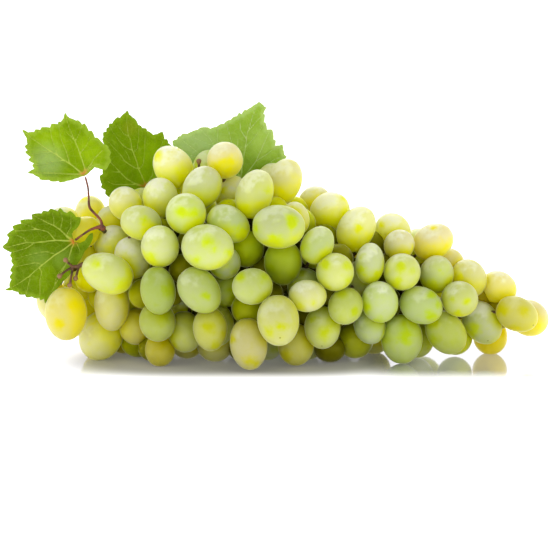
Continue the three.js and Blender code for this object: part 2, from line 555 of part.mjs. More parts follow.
/** A leaf as one thin closed solid, alike in front and behind. */
function leafGeometry(leaf) {
  const triangles = griddedTriangles(leaf.edge, LEAF_GRID);
  const keys = new Map();
  const places = [];
  const index = triangles.map((triangle) => triangle.map(([x, z]) => {
    const key = `${x.toFixed(4)},${z.toFixed(4)}`;
    if (!keys.has(key)) {
      keys.set(key, places.length);
      places.push([x, z]);
    }
    return keys.get(key);
  })).filter(([a, b, c]) => a !== b && b !== c && c !== a);
  const positions = [];
  for (const side of [-1, 1]) {
    for (const [x, z] of places) {
      const { place } = seen(x, z, leafDepth(leaf, x, z));
      positions.push(place.x, place.y + (side * BLADE) / 2, place.z);
    }
  }
  const count = places.length;
  const faces = [];
  const rim = new Map();
  for (const [a, b, c] of index) {
    faces.push(a, b, c, a + count, c + count, b + count);
    for (const [from, to] of [[a, b], [b, c], [c, a]]) {
      if (rim.has(`${to},${from}`)) rim.delete(`${to},${from}`);
      else rim.set(`${from},${to}`, [from, to]);
    }
  }
  for (const [from, to] of rim.values()) faces.push(to, from, from + count, to, from + count, to + count);
  const geometry = new THREE.BufferGeometry();
  geometry.setAttribute('position', new THREE.Float32BufferAttribute(positions, 3));
  geometry.setIndex(faces);
  return geometry;
}

const group = new THREE.Group();

/** Adds a solid to the part as a named mesh. */
function addNode(name, body, colour, roughness) {
  const mesh = body.getMesh();
  const geometry = new THREE.BufferGeometry();
  const positions = new Float32Array((mesh.vertProperties.length / mesh.numProp) * 3);
  for (let i = 0; i < positions.length / 3; i++) {
    for (let k = 0; k < 3; k++) positions[i * 3 + k] = mesh.vertProperties[i * mesh.numProp + k];
  }
  geometry.setAttribute('position', new THREE.BufferAttribute(positions, 3));
  geometry.setIndex(Array.from(mesh.triVerts));
  geometry.translate(SHIFT_ACROSS, SHIFT_BACK, 0);
  const node = new THREE.Mesh(geometry, new THREE.MeshStandardMaterial({ color: colour, roughness }));
  node.name = name;
  group.add(node);
}

addNode('bunch', bunchSolid(), 0xc6cf6a, 0.4);

const jointPlace = seen(JOINT[0], JOINT[1], JOINT[2]).place;
addNode('vine_shoot', joined([
  solid(knob(jointPlace, JOINT[3])), solid(seenTube(STALK_UPPER, 6, 12)), solid(seenTube(STALK_LOWER, 6, 8)),
]), BARK, 0.6);

addNode('bare_twig', joined([
  solid(seenTube(TWIG, 6, 4)), ...TWIG_ENDS.map((rows) => solid(seenTube(rows, 5, 4))),
  ...TWIG_ENDS.map((rows) => solid(knob(seen(rows[2][0], rows[2][1], rows[2][2]).place, KNOB))),
]), BARK, 0.6);

for (const [name, rows] of Object.entries(BACK_STALKS)) addNode(name, solid(seenTube(rows, 6, 6)), BARK, 0.6);
for (const [name, leaf] of Object.entries(LEAVES)) addNode(name, solid(leafGeometry(leaf)), leaf.colour, 0.55);

export default group;
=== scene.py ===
"""A bunch of oval white table grapes with its shoot, a bare twig and four vine leaves.

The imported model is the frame: every piece stands where its node stands, in metres, +Z up, the stalk end of
the bunch towards -X, its tip towards +X and its front towards -Y. Shapes are worked out in millimetres.
Places are given as on the front elevation, across and up, which is looked at from 900 mm away and seven
degrees above level.
"""

from __future__ import annotations

import logging
import math
from dataclasses import dataclass, field
from enum import Enum
from typing import Callable, Sequence, Union

import bpy
import numpy as np
from mathutils import Matrix, Vector

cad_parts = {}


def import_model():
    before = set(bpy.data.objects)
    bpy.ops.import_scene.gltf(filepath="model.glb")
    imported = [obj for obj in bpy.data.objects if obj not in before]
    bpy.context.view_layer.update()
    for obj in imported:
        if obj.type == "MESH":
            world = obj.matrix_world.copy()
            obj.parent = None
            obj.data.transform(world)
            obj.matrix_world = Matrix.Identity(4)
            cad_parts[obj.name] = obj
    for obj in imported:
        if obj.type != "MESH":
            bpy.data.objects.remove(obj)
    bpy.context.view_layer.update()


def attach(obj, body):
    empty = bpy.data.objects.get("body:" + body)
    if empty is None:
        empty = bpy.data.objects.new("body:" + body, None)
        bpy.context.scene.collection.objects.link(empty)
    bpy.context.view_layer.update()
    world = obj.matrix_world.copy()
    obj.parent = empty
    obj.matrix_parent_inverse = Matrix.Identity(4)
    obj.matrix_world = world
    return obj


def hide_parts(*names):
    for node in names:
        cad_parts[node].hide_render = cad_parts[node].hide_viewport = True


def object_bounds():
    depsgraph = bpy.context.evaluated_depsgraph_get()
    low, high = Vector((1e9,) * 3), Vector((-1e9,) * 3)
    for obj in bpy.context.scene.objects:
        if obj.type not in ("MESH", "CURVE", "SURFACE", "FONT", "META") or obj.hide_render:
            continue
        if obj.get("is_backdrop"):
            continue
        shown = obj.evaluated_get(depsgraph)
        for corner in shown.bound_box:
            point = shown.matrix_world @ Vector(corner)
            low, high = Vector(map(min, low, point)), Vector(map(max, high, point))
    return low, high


LOG = logging.getLogger("grapes")
MM = 0.001
DRAW_STEP = 16807
DRAW_SIZE = 2147483647
FAR_OFF = 99.0
UP = np.array([0.0, 0.0, 1.0])
WHITE = (1.0, 1.0, 1.0, 1.0)

Array = np.ndarray
Piece = bpy.types.Object
Mesh = bpy.types.Mesh
Finish = bpy.types.Material
Row = Sequence[float]
Rows = Sequence[Row]
Pair = tuple[float, float]
Triple = tuple[float, float, float]
Colour = tuple[float, float, float, float]
Key = Union[int, str]
Values = dict[Key, object]


def srgb(red: int, green: int, blue: int) -> Colour:
    """A colour given in display values from 0 to 255, as linear light with an alpha of one."""
    linear = [((c / 255 + 0.055) / 1.055) ** 2.4 if c > 10 else c / 255 / 12.92 for c in (red, green, blue)]
    return (linear[0], linear[1], linear[2], 1.0)


def profile(table: Rows, place: float) -> float:
    """The value of a profile at a place.

    Args:
        table: Rows of place and value, in rising order.
        place: Where the value is wanted.

    Returns:
        The value, held level beyond both ends.
    """
    if place <= table[0][0]:
        return table[0][1]
    for low, high in zip(table, table[1:]):
        if place <= high[0]:
            share = (place - low[0]) / (high[0] - low[0])
            return low[1] + share * (high[1] - low[1])
    return table[-1][1]


def smooth(low: float, high: float, values: Array) -> Array:
    """A soft step from 0 below low to 1 above high, and the other way round where low is the larger."""
    share = np.clip((values - low) / (high - low), 0.0, 1.0)
    return share * share * (3.0 - 2.0 * share)


def along_line(rows: Rows, steps: int) -> Array:
    """A smooth line through points, with any further values carried evenly along it.

    Args:
        rows: Rows of x, y, z and further values such as a radius.
        steps: Number of steps from the first row to the last.

    Returns:
        One row of the same width for each step.
    """
    points = np.array(rows, dtype=float)
    places = points[:, :3]
    padded = np.vstack([2 * places[0] - places[1], places, 2 * places[-1] - places[-2]])
    line = []
    for i in range(steps + 1):
        spot = i / steps * (len(points) - 1)
        k = min(int(spot), len(points) - 2)
        share = spot - k
        p0, p1, p2, p3 = padded[k : k + 4]
        gaps = [max(1e-4, float(np.linalg.norm(b - a))) ** 0.5 for a, b in ((p0, p1), (p1, p2), (p2, p3))]
        leave = ((p1 - p0) / gaps[0] - (p2 - p0) / (gaps[0] + gaps[1]) + (p2 - p1) / gaps[1]) * gaps[1]
        reach = ((p2 - p1) / gaps[1] - (p3 - p1) / (gaps[1] + gaps[2]) + (p3 - p2) / gaps[2]) * gaps[1]
        cubic = 3 * (p2 - p1) - 2 * leave - reach + share * (2 * (p1 - p2) + leave + reach)
        place = p1 + share * (leave + share * cubic)
        line.append(np.concatenate([place, points[k, 3:] + share * (points[k + 1, 3:] - points[k, 3:])]))
    return np.array(line)


def off_line(across: Array, up: Array, start: Array, end: Array) -> tuple[Array, Array]:
    """How far places on the elevation are from a straight line.

    Args:
        across: Places along the elevation.
        up: Heights on the elevation.
        start: Across and up of the line's start.
        end: Across and up of its end.

    Returns:
        The distances, and the shares of the line at which its nearest points lie.
    """
    way = end - start
    share = np.clip(((across - start[0]) * way[0] + (up - start[1]) * way[1]) / float(way @ way), 0, 1)
    return np.hypot(across - start[0] - share * way[0], up - start[1] - share * way[1]), share


def unit(way: Array) -> Array:
    """A direction at length one."""
    return way / np.linalg.norm(way)


def turn_to(way: Array) -> Array:
    """The turn that takes upwards to a direction, as rows of three."""
    return np.array(Vector(UP).rotation_difference(Vector(way)).to_matrix())


# Overall height of the bunch and depth of its front to the berries' middles, by place along it.
HEIGHTS: Rows = (
    (-118, 60), (-105, 72), (-92, 78), (-75, 84), (-57, 92), (-50, 104), (-25, 107), (5, 98), (20, 86),
    (43, 76), (59, 71), (80, 66), (97, 50), (111, 43), (126, 31), (138, 18),
)
DEPTHS: Rows = (
    (-118, 14), (-105, 22), (-85, 29), (-60, 39), (-40, 45), (-13, 48), (15, 44), (40, 35), (63, 27),
    (85, 22), (105, 17), (125, 9), (138, 4),
)
# Height on the elevation below which nothing of the bunch shows, by place along it.
LOWS: Rows = (
    (-125, 45), (-118, 22), (-108, 12), (-100, 2), (-96, -3), (95, -3), (112, 0), (120, 8), (140, 12),
)
# The berries of the front, nearest first: across, up, width, length, lean of the long side, start depth.
BERRIES: Rows = (
    (-83.7, 42.4, 20.4, 26.8, 112), (-104.5, 22.1, 21.4, 27, 0), (-81.6, 26.6, 17.8, 26.4, 0),
    (-33.6, 55.3, 23.4, 26.7, 95), (1.8, 65.6, 22, 26.8, 92), (-57.5, 55.9, 19.4, 21.6, 0),
    (-37.8, 33.8, 20, 25.6, -38), (-58.5, 33.8, 17.6, 24.4, -6), (-11.2, 35.8, 18.5, 20.5, 95),
    (1.6, 18.8, 21.4, 25.8, -6, -52), (-13.2, 7, 19, 26.4, -6, -48), (16.4, 31, 16.4, 19.2, 92),
    (30, 43, 19.2, 19.4, 0), (63.5, 43.1, 18.8, 18.7, 0), (92.3, 29.5, 18, 18.3, 90),
    (121, 21.9, 17.6, 22, 115), (52.4, 28, 18.6, 21.4, -10), (73, 26.3, 18.6, 22, 112),
    (35.3, 26, 17.4, 18.6, 30), (23.7, 15.2, 18.4, 21, 0), (63.4, 9.6, 21, 25, 0, -25),
    (85.4, 12.8, 19, 24, -38), (103.3, 18, 18.5, 24, -35), (96.8, 39.8, 18, 20.5, -25),
    (80.8, 42, 17.6, 19.6, 0), (47.4, 47.2, 14.8, 21, 3), (40.6, 64.4, 18.6, 24.4, 28),
    (27.2, 73.2, 19.2, 21, 50), (62, 56.4, 15.2, 16.2, 30), (-23.3, 67, 18, 23, 122),
    (-44.5, 72, 20.6, 21.2, 0), (-67, 67.6, 17.5, 21, 105), (-71.2, 50.2, 18, 21.5, -25),
    (-81.5, 57, 18, 19.5, 30), (-36.5, 85, 19, 23, 30), (-57.4, 80, 18, 20.6, 0), (-74.6, 77, 16.8, 18, -30),
    (-51, 95.5, 19.5, 23, -35), (-10.3, 81.9, 18.5, 25.5, 20), (4.6, 88, 17.5, 24, 18),
    (-25, 98.8, 18.2, 18.8, 0), (-21.5, 81.5, 18, 20, 0), (-32.4, 14.4, 17.6, 22, -4),
    (-58.8, 18.2, 18.4, 19.8, -15), (-45.2, 13.2, 17.6, 20.6, -10), (-25.3, 47.6, 16.4, 17.4, 0),
    (21.2, 56.4, 16.4, 20, 30), (4, 47.6, 19.4, 23, 0), (-14.3, 54.6, 18, 19, 0), (-24.4, 34.4, 16, 17.6, 0),
    (-13.4, 24.8, 17, 16, 0), (14.6, 36.4, 17.6, 18, 0), (19.6, 53.4, 15, 17.6, 0),
    (10.4, 69.8, 13.6, 17, -15), (19.8, 77.4, 16.6, 18, 30), (59.2, 63.4, 17.4, 19.6, -45),
    (78.9, 58, 17.8, 21.6, 60), (86.8, 46.6, 16, 17, 0), (42.4, 40, 17, 18, 0), (47.4, 15.6, 16, 17.4, -20),
    (40, 9, 18.6, 18, 0), (31, 7.6, 18, 18, 0), (10.4, 6.8, 18.4, 20.8, 0, -29), (-28.6, 16.6, 16.4, 21.5, 0),
    (-30, 6.4, 19, 19, 0, -24), (-47.2, 27, 13.6, 17.6, 8), (-57.4, 4.4, 15.4, 17, 0, -33),
    (-44, 6, 17, 17, 0), (-87, 11.2, 22, 25, 20, -10), (-74.5, 9.8, 19.5, 21, 90, -6), (-69.5, 16, 17, 18, 0),
    (-71.5, 33, 19, 20, 0), (-66, 76.5, 17, 18, 0), (-81.4, 68.6, 16, 16, 0, -14),
    (-95.2, 63, 15.4, 17, 60, -12), (-94.5, 50.4, 14, 16, 0, -10), (-97.4, 37.4, 17, 18, 0, -8),
    (-91.6, 23.6, 16, 20, 0), (-111, 28.4, 16.4, 20, -8, -3), (-92.3, 71.6, 15.8, 19.4, 0, -8),
    (-105.6, 68.4, 15, 16, 90, -2), (70.5, 9, 18, 18, 0), (90, 10.6, 18, 18.4, 0),
    (107.5, 11, 17.6, 19, 0, 4), (111.6, 34.8, 17.6, 19.6, -50), (126.6, 20.2, 18.4, 20, 110),
)
# The bunch's own stalk and the rachis through its middle: x, y, z, radius.
PEDUNCLE: Rows = ((-85.2, -21.2, 67, 1.1), (-84.4, -9, 64.6, 1.2), (-80, -4, 58, 1.5), (-76, -3, 52, 2))
RACHIS: Rows = (
    (-76, -3, 52, 2.3), (-58, 0, 48, 2.2), (-35, 0, 48, 2.1), (-5, 0, 45, 2), (30, 0, 37, 1.8),
    (65, 0, 27, 1.5), (95, 1, 20, 1.2), (117, 2, 17, 1),
)
# Stems seen in front: across, up, depth, radius.
BARE_PEDICEL: Rows = ((-38.1, 98.4, -7, 0.75), (-38, 93, -6.5, 0.6), (-38, 84, -5, 0.8), (-38, 74, -3, 1))
JOINT: tuple[float, ...] = (-86, 65, -24, 1.45)
STALK_UPPER: Rows = (
    (-86.4, 65.6, -24, 0.9), (-87.1, 68.8, -24, 0.62), (-92.6, 75.2, -21, 0.7), (-93.1, 79.8, -19, 0.5),
    (-93.5, 85, -16, 0.48), (-94.8, 90.4, -12.6, 0.5),
)
STALK_LOWER: Rows = (
    (-87, 65.8, -24, 1), (-92.1, 64.2, -23.5, 0.6), (-96.5, 61.4, -21.5, 0.55), (-99.7, 59.1, -18.6, 0.66),
)
TWIG: Rows = ((-95.8, 47.1, -20.8, 1.1), (-98, 46, -20.4, 1), (-101.6, 45.5, -20.2, 0.8))
TWIG_ENDS: tuple[Rows, ...] = (
    ((-101, 45.6, -20.2, 0.7), (-103, 47.2, -21, 0.6), (-104.7, 49, -22, 0.7)),
    ((-101, 45.4, -20.2, 0.8), (-104.5, 43.6, -21.5, 0.6), (-107.7, 40.9, -23, 0.7)),
    ((-101, 45.6, -20.2, 0.7), (-101.7, 41.5, -22, 0.6), (-102.6, 36.4, -24.5, 0.7)),
    ((-97.8, 46.2, -20.4, 0.6), (-98.7, 43.4, -20.8, 0.55), (-99.7, 39.8, -21.4, 0.7)),
)
BACK_STALKS: dict[str, Rows] = {
    "stalk_upper_middle": (
        (-65.4, 84.4, 21.2, 0.8), (-65, 81.6, 22.2, 0.8), (-64.2, 79, 22.8, 0.9), (-63, 76.5, 23, 1),
    ),
    "stalk_upper_right": (
        (-17.6, 88.2, 21, 0.8), (-17.6, 86, 22, 0.8), (-18, 83.5, 22.6, 0.9), (-19, 81, 22.6, 1),
    ),
}
# Looks of the front berries in the same order, in hundredths: ripeness from green to amber, coolness of the
# bloom, its bareness, which also darkens the skin to painted shade where little light reaches, and how much
# lighter or darker than the others they are, from -100 to 200, which is painted light and shade for how much
# light reaches each berry.
LOOKS: Rows = (
    (15, 10, 20, 0), (70, 0, 40, -40), (50, 10, 20, 0), (10, 40, 10, 0), (10, 40, 10, -40), (12, 20, 0, 0),
    (5, 40, 15, -70), (0, 60, 45, -90), (10, 40, 20, -60), (30, 0, 20, -60), (55, 0, 10, -100),
    (30, 20, 0, 0), (15, 0, 20, 0), (15, 20, 20, 0), (20, 40, 10, -30), (50, 10, 45, -50), (0, 60, 0, 0),
    (0, 75, 20, -30), (10, 30, 40, -40), (15, 30, 30, 0), (0, 50, 30, 0), (12, 30, 45, -40), (15, 70, 0, 0),
    (45, 30, 10, 0), (10, 90, 10, 0), (10, 80, 0, 0), (35, 20, 20, 80), (45, 10, 20, 140), (50, 20, 0, 0),
    (0, 90, 10, 0), (5, 40, 20, 0), (15, 40, 10, 0), (20, 30, 10, 110), (15, 80, 0, 120), (15, 40, 0, 0),
    (15, 40, 0, 120), (40, 20, 0, 40), (50, 10, 0, 110), (20, 20, 10, 0), (50, 10, 10, 0), (70, 0, 10, 0),
    (35, 40, 0, 170), (30, 20, 50, -60), (10, 50, 50, -80), (20, 60, 40, -20), (0, 60, 0, 0),
    (5, 90, 10, -30), (0, 30, 90, -80), (0, 30, 95, 0), (0, 40, 60, 0), (10, 20, 100, -70), (0, 60, 30, 0),
    (10, 40, 30, 0), (45, 30, 20, 0), (55, 20, 0, 0), (55, 20, 20, 180), (75, 10, 0, 0), (70, 20, 0, 0),
    (10, 60, 30, 80), (0, 100, 10, 0), (15, 20, 90, 0), (20, 20, 90, 0), (40, 10, 60, -30), (15, 50, 40, 0),
    (40, 10, 40, 0), (5, 80, 0, 160), (50, 10, 75, -60), (40, 20, 60, 0), (40, 20, 10, 60),
    (60, 0, 100, -100), (60, 0, 60, 0), (20, 30, 30, 0), (20, 20, 0, 0), (50, 30, 0, 0), (80, 0, 80, 0),
    (50, 10, 40, 0), (95, 0, 70, 100), (90, 0, 90, 100), (60, 10, 0, 0), (60, 10, 0, 0), (40, 30, 0, 0),
    (10, 30, 50, 0), (10, 30, 60, 0), (80, 0, 60, 0), (80, 0, 10, 30), (80, 0, 0, 0),
)
# Places of the few dark scars on the elevation, by row.
SCARS: dict[int, Pair] = {9: (3.1, 10.3), 19: (23.5, 6.2), 22: (107, 8.5), 15: (128.8, 16.5)}
# Spots where the bloom is rubbed off: row of the berry, across, up, size.
SPOTS: Rows = (
    (0, -90, 47.7, 3), (0, -77, 37, 3.5), (1, -100, 27, 3.5), (1, -108, 17, 3), (2, -77, 32, 3),
    (3, -33.8, 57.8, 4), (3, -30.6, 54, 2.5), (3, -23.1, 52.8, 2.5), (3, -38.8, 49, 3), (4, 8.8, 67.8, 3),
    (4, 1.3, 57.8, 4), (4, -10, 64, 3), (5, -62, 49.5, 3.5), (6, -35, 31.5, 2.5), (6, -30, 42, 3),
    (7, -54.4, 32.8, 3.2), (8, -4.4, 40.3, 4), (8, -17, 41, 3), (9, 3.1, 15.3, 2.5), (9, -2.5, 12.8, 3),
    (10, -21.3, 9, 2), (10, -11.3, -2, 3.5), (11, 12.5, 26.5, 3), (11, 19.4, 27.8, 2.5), (12, 25, 46.5, 3.2),
    (12, 36.9, 46.5, 2.8), (12, 37, 39, 3), (13, 63.1, 45.3, 3.2), (13, 68.8, 43.4, 2.5),
    (13, 61.3, 38.4, 2.2), (14, 95.6, 28.4, 2.3), (14, 88.8, 29, 2), (14, 91, 22.5, 2.2), (15, 113.8, 24, 4),
    (15, 123.8, 24, 3), (15, 120, 15.3, 2.5), (16, 45.6, 25.3, 2.8), (16, 52, 18.5, 3), (17, 78.8, 32, 2.2),
    (17, 82, 26.5, 2.5), (17, 77.5, 21.5, 3.2), (18, 40, 23, 2.5), (18, 33.8, 32, 3), (19, 23.8, 11.5, 3.8),
    (19, 30, 20, 3), (19, 18, 20, 3), (20, 65, 12.8, 5), (21, 80, 9, 4), (21, 78.5, 18, 4),
    (22, 97.5, 14, 4.5), (23, 91.3, 40.3, 3.5), (24, 82.3, 43.8, 1.7), (24, 78.8, 36.5, 4),
    (25, 43.1, 42.8, 3), (25, 51.3, 41.5, 3), (26, 41.9, 64.6, 2), (26, 48.8, 60.3, 3.5), (26, 40, 55.3, 4.5),
    (27, 35, 80.3, 3), (27, 27.5, 67.8, 5), (28, 58, 51, 3), (29, -16.3, 62.8, 3.6), (30, -47.5, 72.8, 3),
    (30, -39.4, 72.8, 3.5), (31, -65.6, 69.6, 2.6), (32, -72, 43, 4.5), (33, -75, 57, 3), (34, -36, 77, 4),
    (37, -46.3, 90, 4), (37, -58, 101, 2.6), (38, -3.8, 84, 3), (38, -15, 74, 4), (39, 6.3, 80.3, 4.5),
    (40, -23.1, 97.8, 3), (40, -23.8, 93, 4), (42, -33.8, 15.3, 4.2), (42, -30, 6.5, 2.4), (43, -56, 22, 3.6),
    (46, 14.4, 54, 3.6), (46, 27.5, 51.5, 2.6), (68, -82, 18, 4),
)


class Draw:
    """Seeded numbers from 0 to 1, the same in every run."""

    def __init__(self, seed: int) -> None:
        """Starts the row of numbers from a whole number over zero."""
        self.state = seed

    def next(self) -> float:
        """The next number of the row."""
        self.state = self.state * DRAW_STEP % DRAW_SIZE
        return self.state / DRAW_SIZE

    def between(self, low: float, high: float) -> float:
        """The next number, spread from low to high."""
        return low + (high - low) * self.next()


@dataclass(frozen=True)
class Elevation:
    """The front elevation on which places are given, in millimetres."""

    distance: float = 900.0
    above: float = math.radians(7.0)
    height: float = 41.5
    shift: Triple = (-1.8, 5.6, 0.0)

    def scale(self, up: float, depth: float) -> float:
        """How much larger a thing is than it looks on the elevation, at a height and depth."""
        middle = self.distance * math.cos(self.above)
        return (depth + middle) / ((up - self.height) * math.sin(self.above) + middle)

    def place(self, across: float, up: float, depth: float) -> Array:
        """The place at a depth that the elevation shows at across and up.

        Args:
            across: Place along the elevation.
            up: Height on the elevation.
            depth: Depth behind the middle plane.

        Returns:
            The place, before the shift to the origin.
        """
        scale, eye = self.scale(up, depth), self.distance * math.sin(self.above)
        rise = scale * ((up - self.height) * math.cos(self.above) - eye)
        return np.array([scale * across, depth, self.height + eye + rise])

    def seen(self, places: Array) -> Array:
        """Where the elevation shows places.

        Args:
            places: Rows of x, y and z, before the shift to the origin.

        Returns:
            Rows of across and up.
        """
        cos, sin = math.cos(self.above), math.sin(self.above)
        rise = places[..., 2] - self.height
        away = self.distance + places[..., 1] * cos - rise * sin
        up = self.height + self.distance * (places[..., 1] * sin + rise * cos) / away
        return np.stack([self.distance * places[..., 0] / away, up], axis=-1)

    def off(self, places: Array, across: float, up: float) -> Array:
        """How far from a spot on the elevation places are seen."""
        seen = self.seen(places)
        return np.hypot(seen[:, 0] - across, seen[:, 1] - up)

    def route(self, rows: Rows, steps: int) -> Array:
        """A smooth line through rows of across, up, depth and radius, before the shift."""
        return along_line([[*self.place(*row[:3]), row[3]] for row in rows], steps)


ELEVATION = Elevation()
SHIFT = np.array(ELEVATION.shift)


class Bench:
    """The bench that pieces are modelled on: selection, edit mode, modifiers, attributes and dressing."""

    roundness = 3

    @staticmethod
    def clear() -> None:
        """Leaves edit mode and deselects everything, the frame's own nodes too."""
        if bpy.context.object is not None and bpy.context.object.mode != "OBJECT":
            bpy.ops.object.mode_set(mode="OBJECT")
        bpy.ops.object.select_all(action="DESELECT")

    @staticmethod
    def take(*pieces: Piece) -> None:
        """Selects pieces and nothing else, and makes the first of them active.

        Args:
            *pieces: The pieces to select.
        """
        Bench.clear()
        for piece in pieces:
            piece.select_set(True)
        bpy.context.view_layer.objects.active = pieces[0]

    @staticmethod
    def named(name: str) -> Piece:
        """Names the piece just added and its mesh, and hands the piece over."""
        bpy.context.object.name = bpy.context.object.data.name = name
        return bpy.context.object

    @staticmethod
    def places(mesh: Mesh) -> Array:
        """The corners of a mesh as rows of x, y and z in metres."""
        flat = np.empty(len(mesh.vertices) * 3)
        mesh.vertices.foreach_get("co", flat)
        return flat.reshape(-1, 3)

    @staticmethod
    def measured(mesh: Mesh) -> Array:
        """The corners of a mesh in millimetres, before the shift to the origin."""
        return Bench.places(mesh) / MM - SHIFT

    @staticmethod
    def put(mesh: Mesh, places: Array) -> None:
        """Moves the corners of a mesh to new places in metres."""
        mesh.vertices.foreach_set("co", np.ascontiguousarray(places, dtype=np.float32).ravel())
        mesh.update()

    @staticmethod
    def set_out(mesh: Mesh, places: Array) -> None:
        """Moves the corners of a mesh to places in millimetres, and shifts them to the origin."""
        Bench.put(mesh, (places + SHIFT) * MM)

    @staticmethod
    def select(piece: Piece, low: float = -math.inf, high: float = math.inf) -> None:
        """Opens a piece in edit mode with the corners selected that lie between two heights.

        Args:
            piece: The piece to edit.
            low: The lower height.
            high: The upper height.
        """
        Bench.take(piece)
        mesh = piece.data
        heights = Bench.places(mesh)[:, 2]
        flags = (heights > low) & (heights < high)
        ends = np.empty(len(mesh.edges) * 2, dtype=np.int32)
        mesh.edges.foreach_get("vertices", ends)
        mesh.vertices.foreach_set("select", flags)
        mesh.edges.foreach_set("select", flags[ends.reshape(-1, 2)].all(axis=1))
        mesh.polygons.foreach_set("select", [all(flags[v] for v in face.vertices) for face in mesh.polygons])
        bpy.ops.object.mode_set(mode="EDIT")
        bpy.ops.mesh.select_mode(type="VERT")

    @staticmethod
    def widen(size: Triple, height: float = 0.0) -> None:
        """Resizes the selected corners about the middle line at a height."""
        bpy.ops.transform.resize(value=size, center_override=(0.0, 0.0, height))

    @staticmethod
    def modify(piece: Piece, kind: str, **settings: object) -> None:
        """Adds a modifier to a piece and applies it.

        Args:
            piece: The piece.
            kind: The modifier's type.
            **settings: Its settings.
        """
        Bench.take(piece)
        modifier = piece.modifiers.new(kind.title(), kind)
        for key, value in settings.items():
            setattr(modifier, key, value)
        bpy.ops.object.modifier_apply(modifier=modifier.name)

    @staticmethod
    def join(name: str, pieces: Sequence[Piece]) -> Piece:
        """Joins pieces into one, with its place in its mesh.

        Args:
            name: The joined piece's name.
            pieces: The pieces to join.

        Returns:
            The joined piece.
        """
        Bench.take(*pieces)
        if len(pieces) > 1:
            bpy.ops.object.join()
        bpy.ops.object.transform_apply()
        return Bench.named(name)

    @staticmethod
    def copy(piece: Piece) -> Piece:
        """A copy of a piece, with a mesh of its own."""
        double = piece.copy()
        double.data = piece.data.copy()
        bpy.context.collection.objects.link(double)
        return double

    @staticmethod
    def drop(*pieces: Piece) -> None:
        """Deletes pieces that were only needed while modelling."""
        Bench.take(*pieces)
        bpy.ops.object.delete()

    @staticmethod
    def note(mesh: Mesh, **marks: Union[float, Array]) -> None:
        """Writes numbers or vectors on the corners of a mesh.

        Args:
            mesh: The mesh.
            **marks: By name, one number for all corners, one for each, or one row of three for each.
        """
        for name, values in marks.items():
            rows = np.asarray(values, np.float32)
            if rows.ndim == 0:
                rows = np.full(len(mesh.vertices), rows)
            kind, key = ("FLOAT_VECTOR", "vector") if rows.ndim == 2 else ("FLOAT", "value")
            mesh.attributes.new(name, kind, "POINT").data.foreach_set(key, np.ascontiguousarray(rows).ravel())

    @staticmethod
    def tube(name: str, line: Array) -> Piece:
        """A closed round tube along a line.

        Args:
            name: The tube's name.
            line: Rows of x, y, z and radius in millimetres, before the shift.

        Returns:
            The tube as a mesh piece.
        """
        Bench.clear()
        bpy.ops.curve.primitive_nurbs_path_add()
        curve = bpy.context.object
        curve.data.splines.clear()
        spline = curve.data.splines.new("POLY")
        spline.points.add(len(line) - 1)
        for point, row in zip(spline.points, line):
            point.co = (*((row[:3] + SHIFT) * MM), 1.0)
            point.radius = row[3]
        curve.data.dimensions = "3D"
        curve.data.bevel_depth = MM
        curve.data.bevel_resolution = Bench.roundness
        curve.data.use_fill_caps = True
        Bench.take(curve)
        bpy.ops.object.convert(target="MESH")
        return Bench.named(name)

    @staticmethod
    def grown(name: str, pieces: Sequence[Piece], grain: float, lumps: float) -> Piece:
        """Pieces grown together into one skin, with the slight lumps of something grown.

        Args:
            name: The piece's name.
            pieces: The pieces, which run into each other.
            grain: Size of the new skin's facets in millimetres.
            lumps: Height of the lumps in millimetres.

        Returns:
            The grown piece.
        """
        piece = Bench.join(name, pieces)
        Bench.modify(piece, "REMESH", mode="VOXEL", voxel_size=grain * MM)
        texture = bpy.data.textures.new(f"{name}_lumps", "CLOUDS")
        texture.noise_scale = 2.2 * MM
        Bench.modify(piece, "DISPLACE", texture=texture, texture_coords="LOCAL", strength=2 * lumps * MM)
        Bench.modify(piece, "SMOOTH", factor=0.5, iterations=3)
        Bench.take(piece)
        bpy.ops.object.shade_smooth()
        return piece

    @staticmethod
    def dress(piece: Piece, finish: Finish, node: str, slot: str) -> None:
        """Gives a piece its finish, hangs it on the root, hides the node that it replaces and logs its faces.

        Args:
            piece: The piece.
            finish: Its material.
            node: The node it replaces.
            slot: Its slot; not used.
        """
        piece.data.materials.clear()
        piece.data.materials.append(finish)
        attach(piece, "root")
        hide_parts(node)
        LOG.info("%s: %d faces", piece.name, len(piece.data.polygons))


def arithmetic(operation: str, swapped: bool = False) -> Callable[[Term, Number], Term]:
    """An operator of the materials' terms, made as a Math node.

    Args:
        operation: The node's operation.
        swapped: Whether the other value comes first.

    Returns:
        The operator, from a term and another value to their result.
    """

    def combine(term: Term, other: Number) -> Term:
        """The result of a term and another value."""
        values = {0: other, 1: term} if swapped else {0: term, 1: other}
        return term.board.term("ShaderNodeMath", {"operation": operation}, values)

    return combine


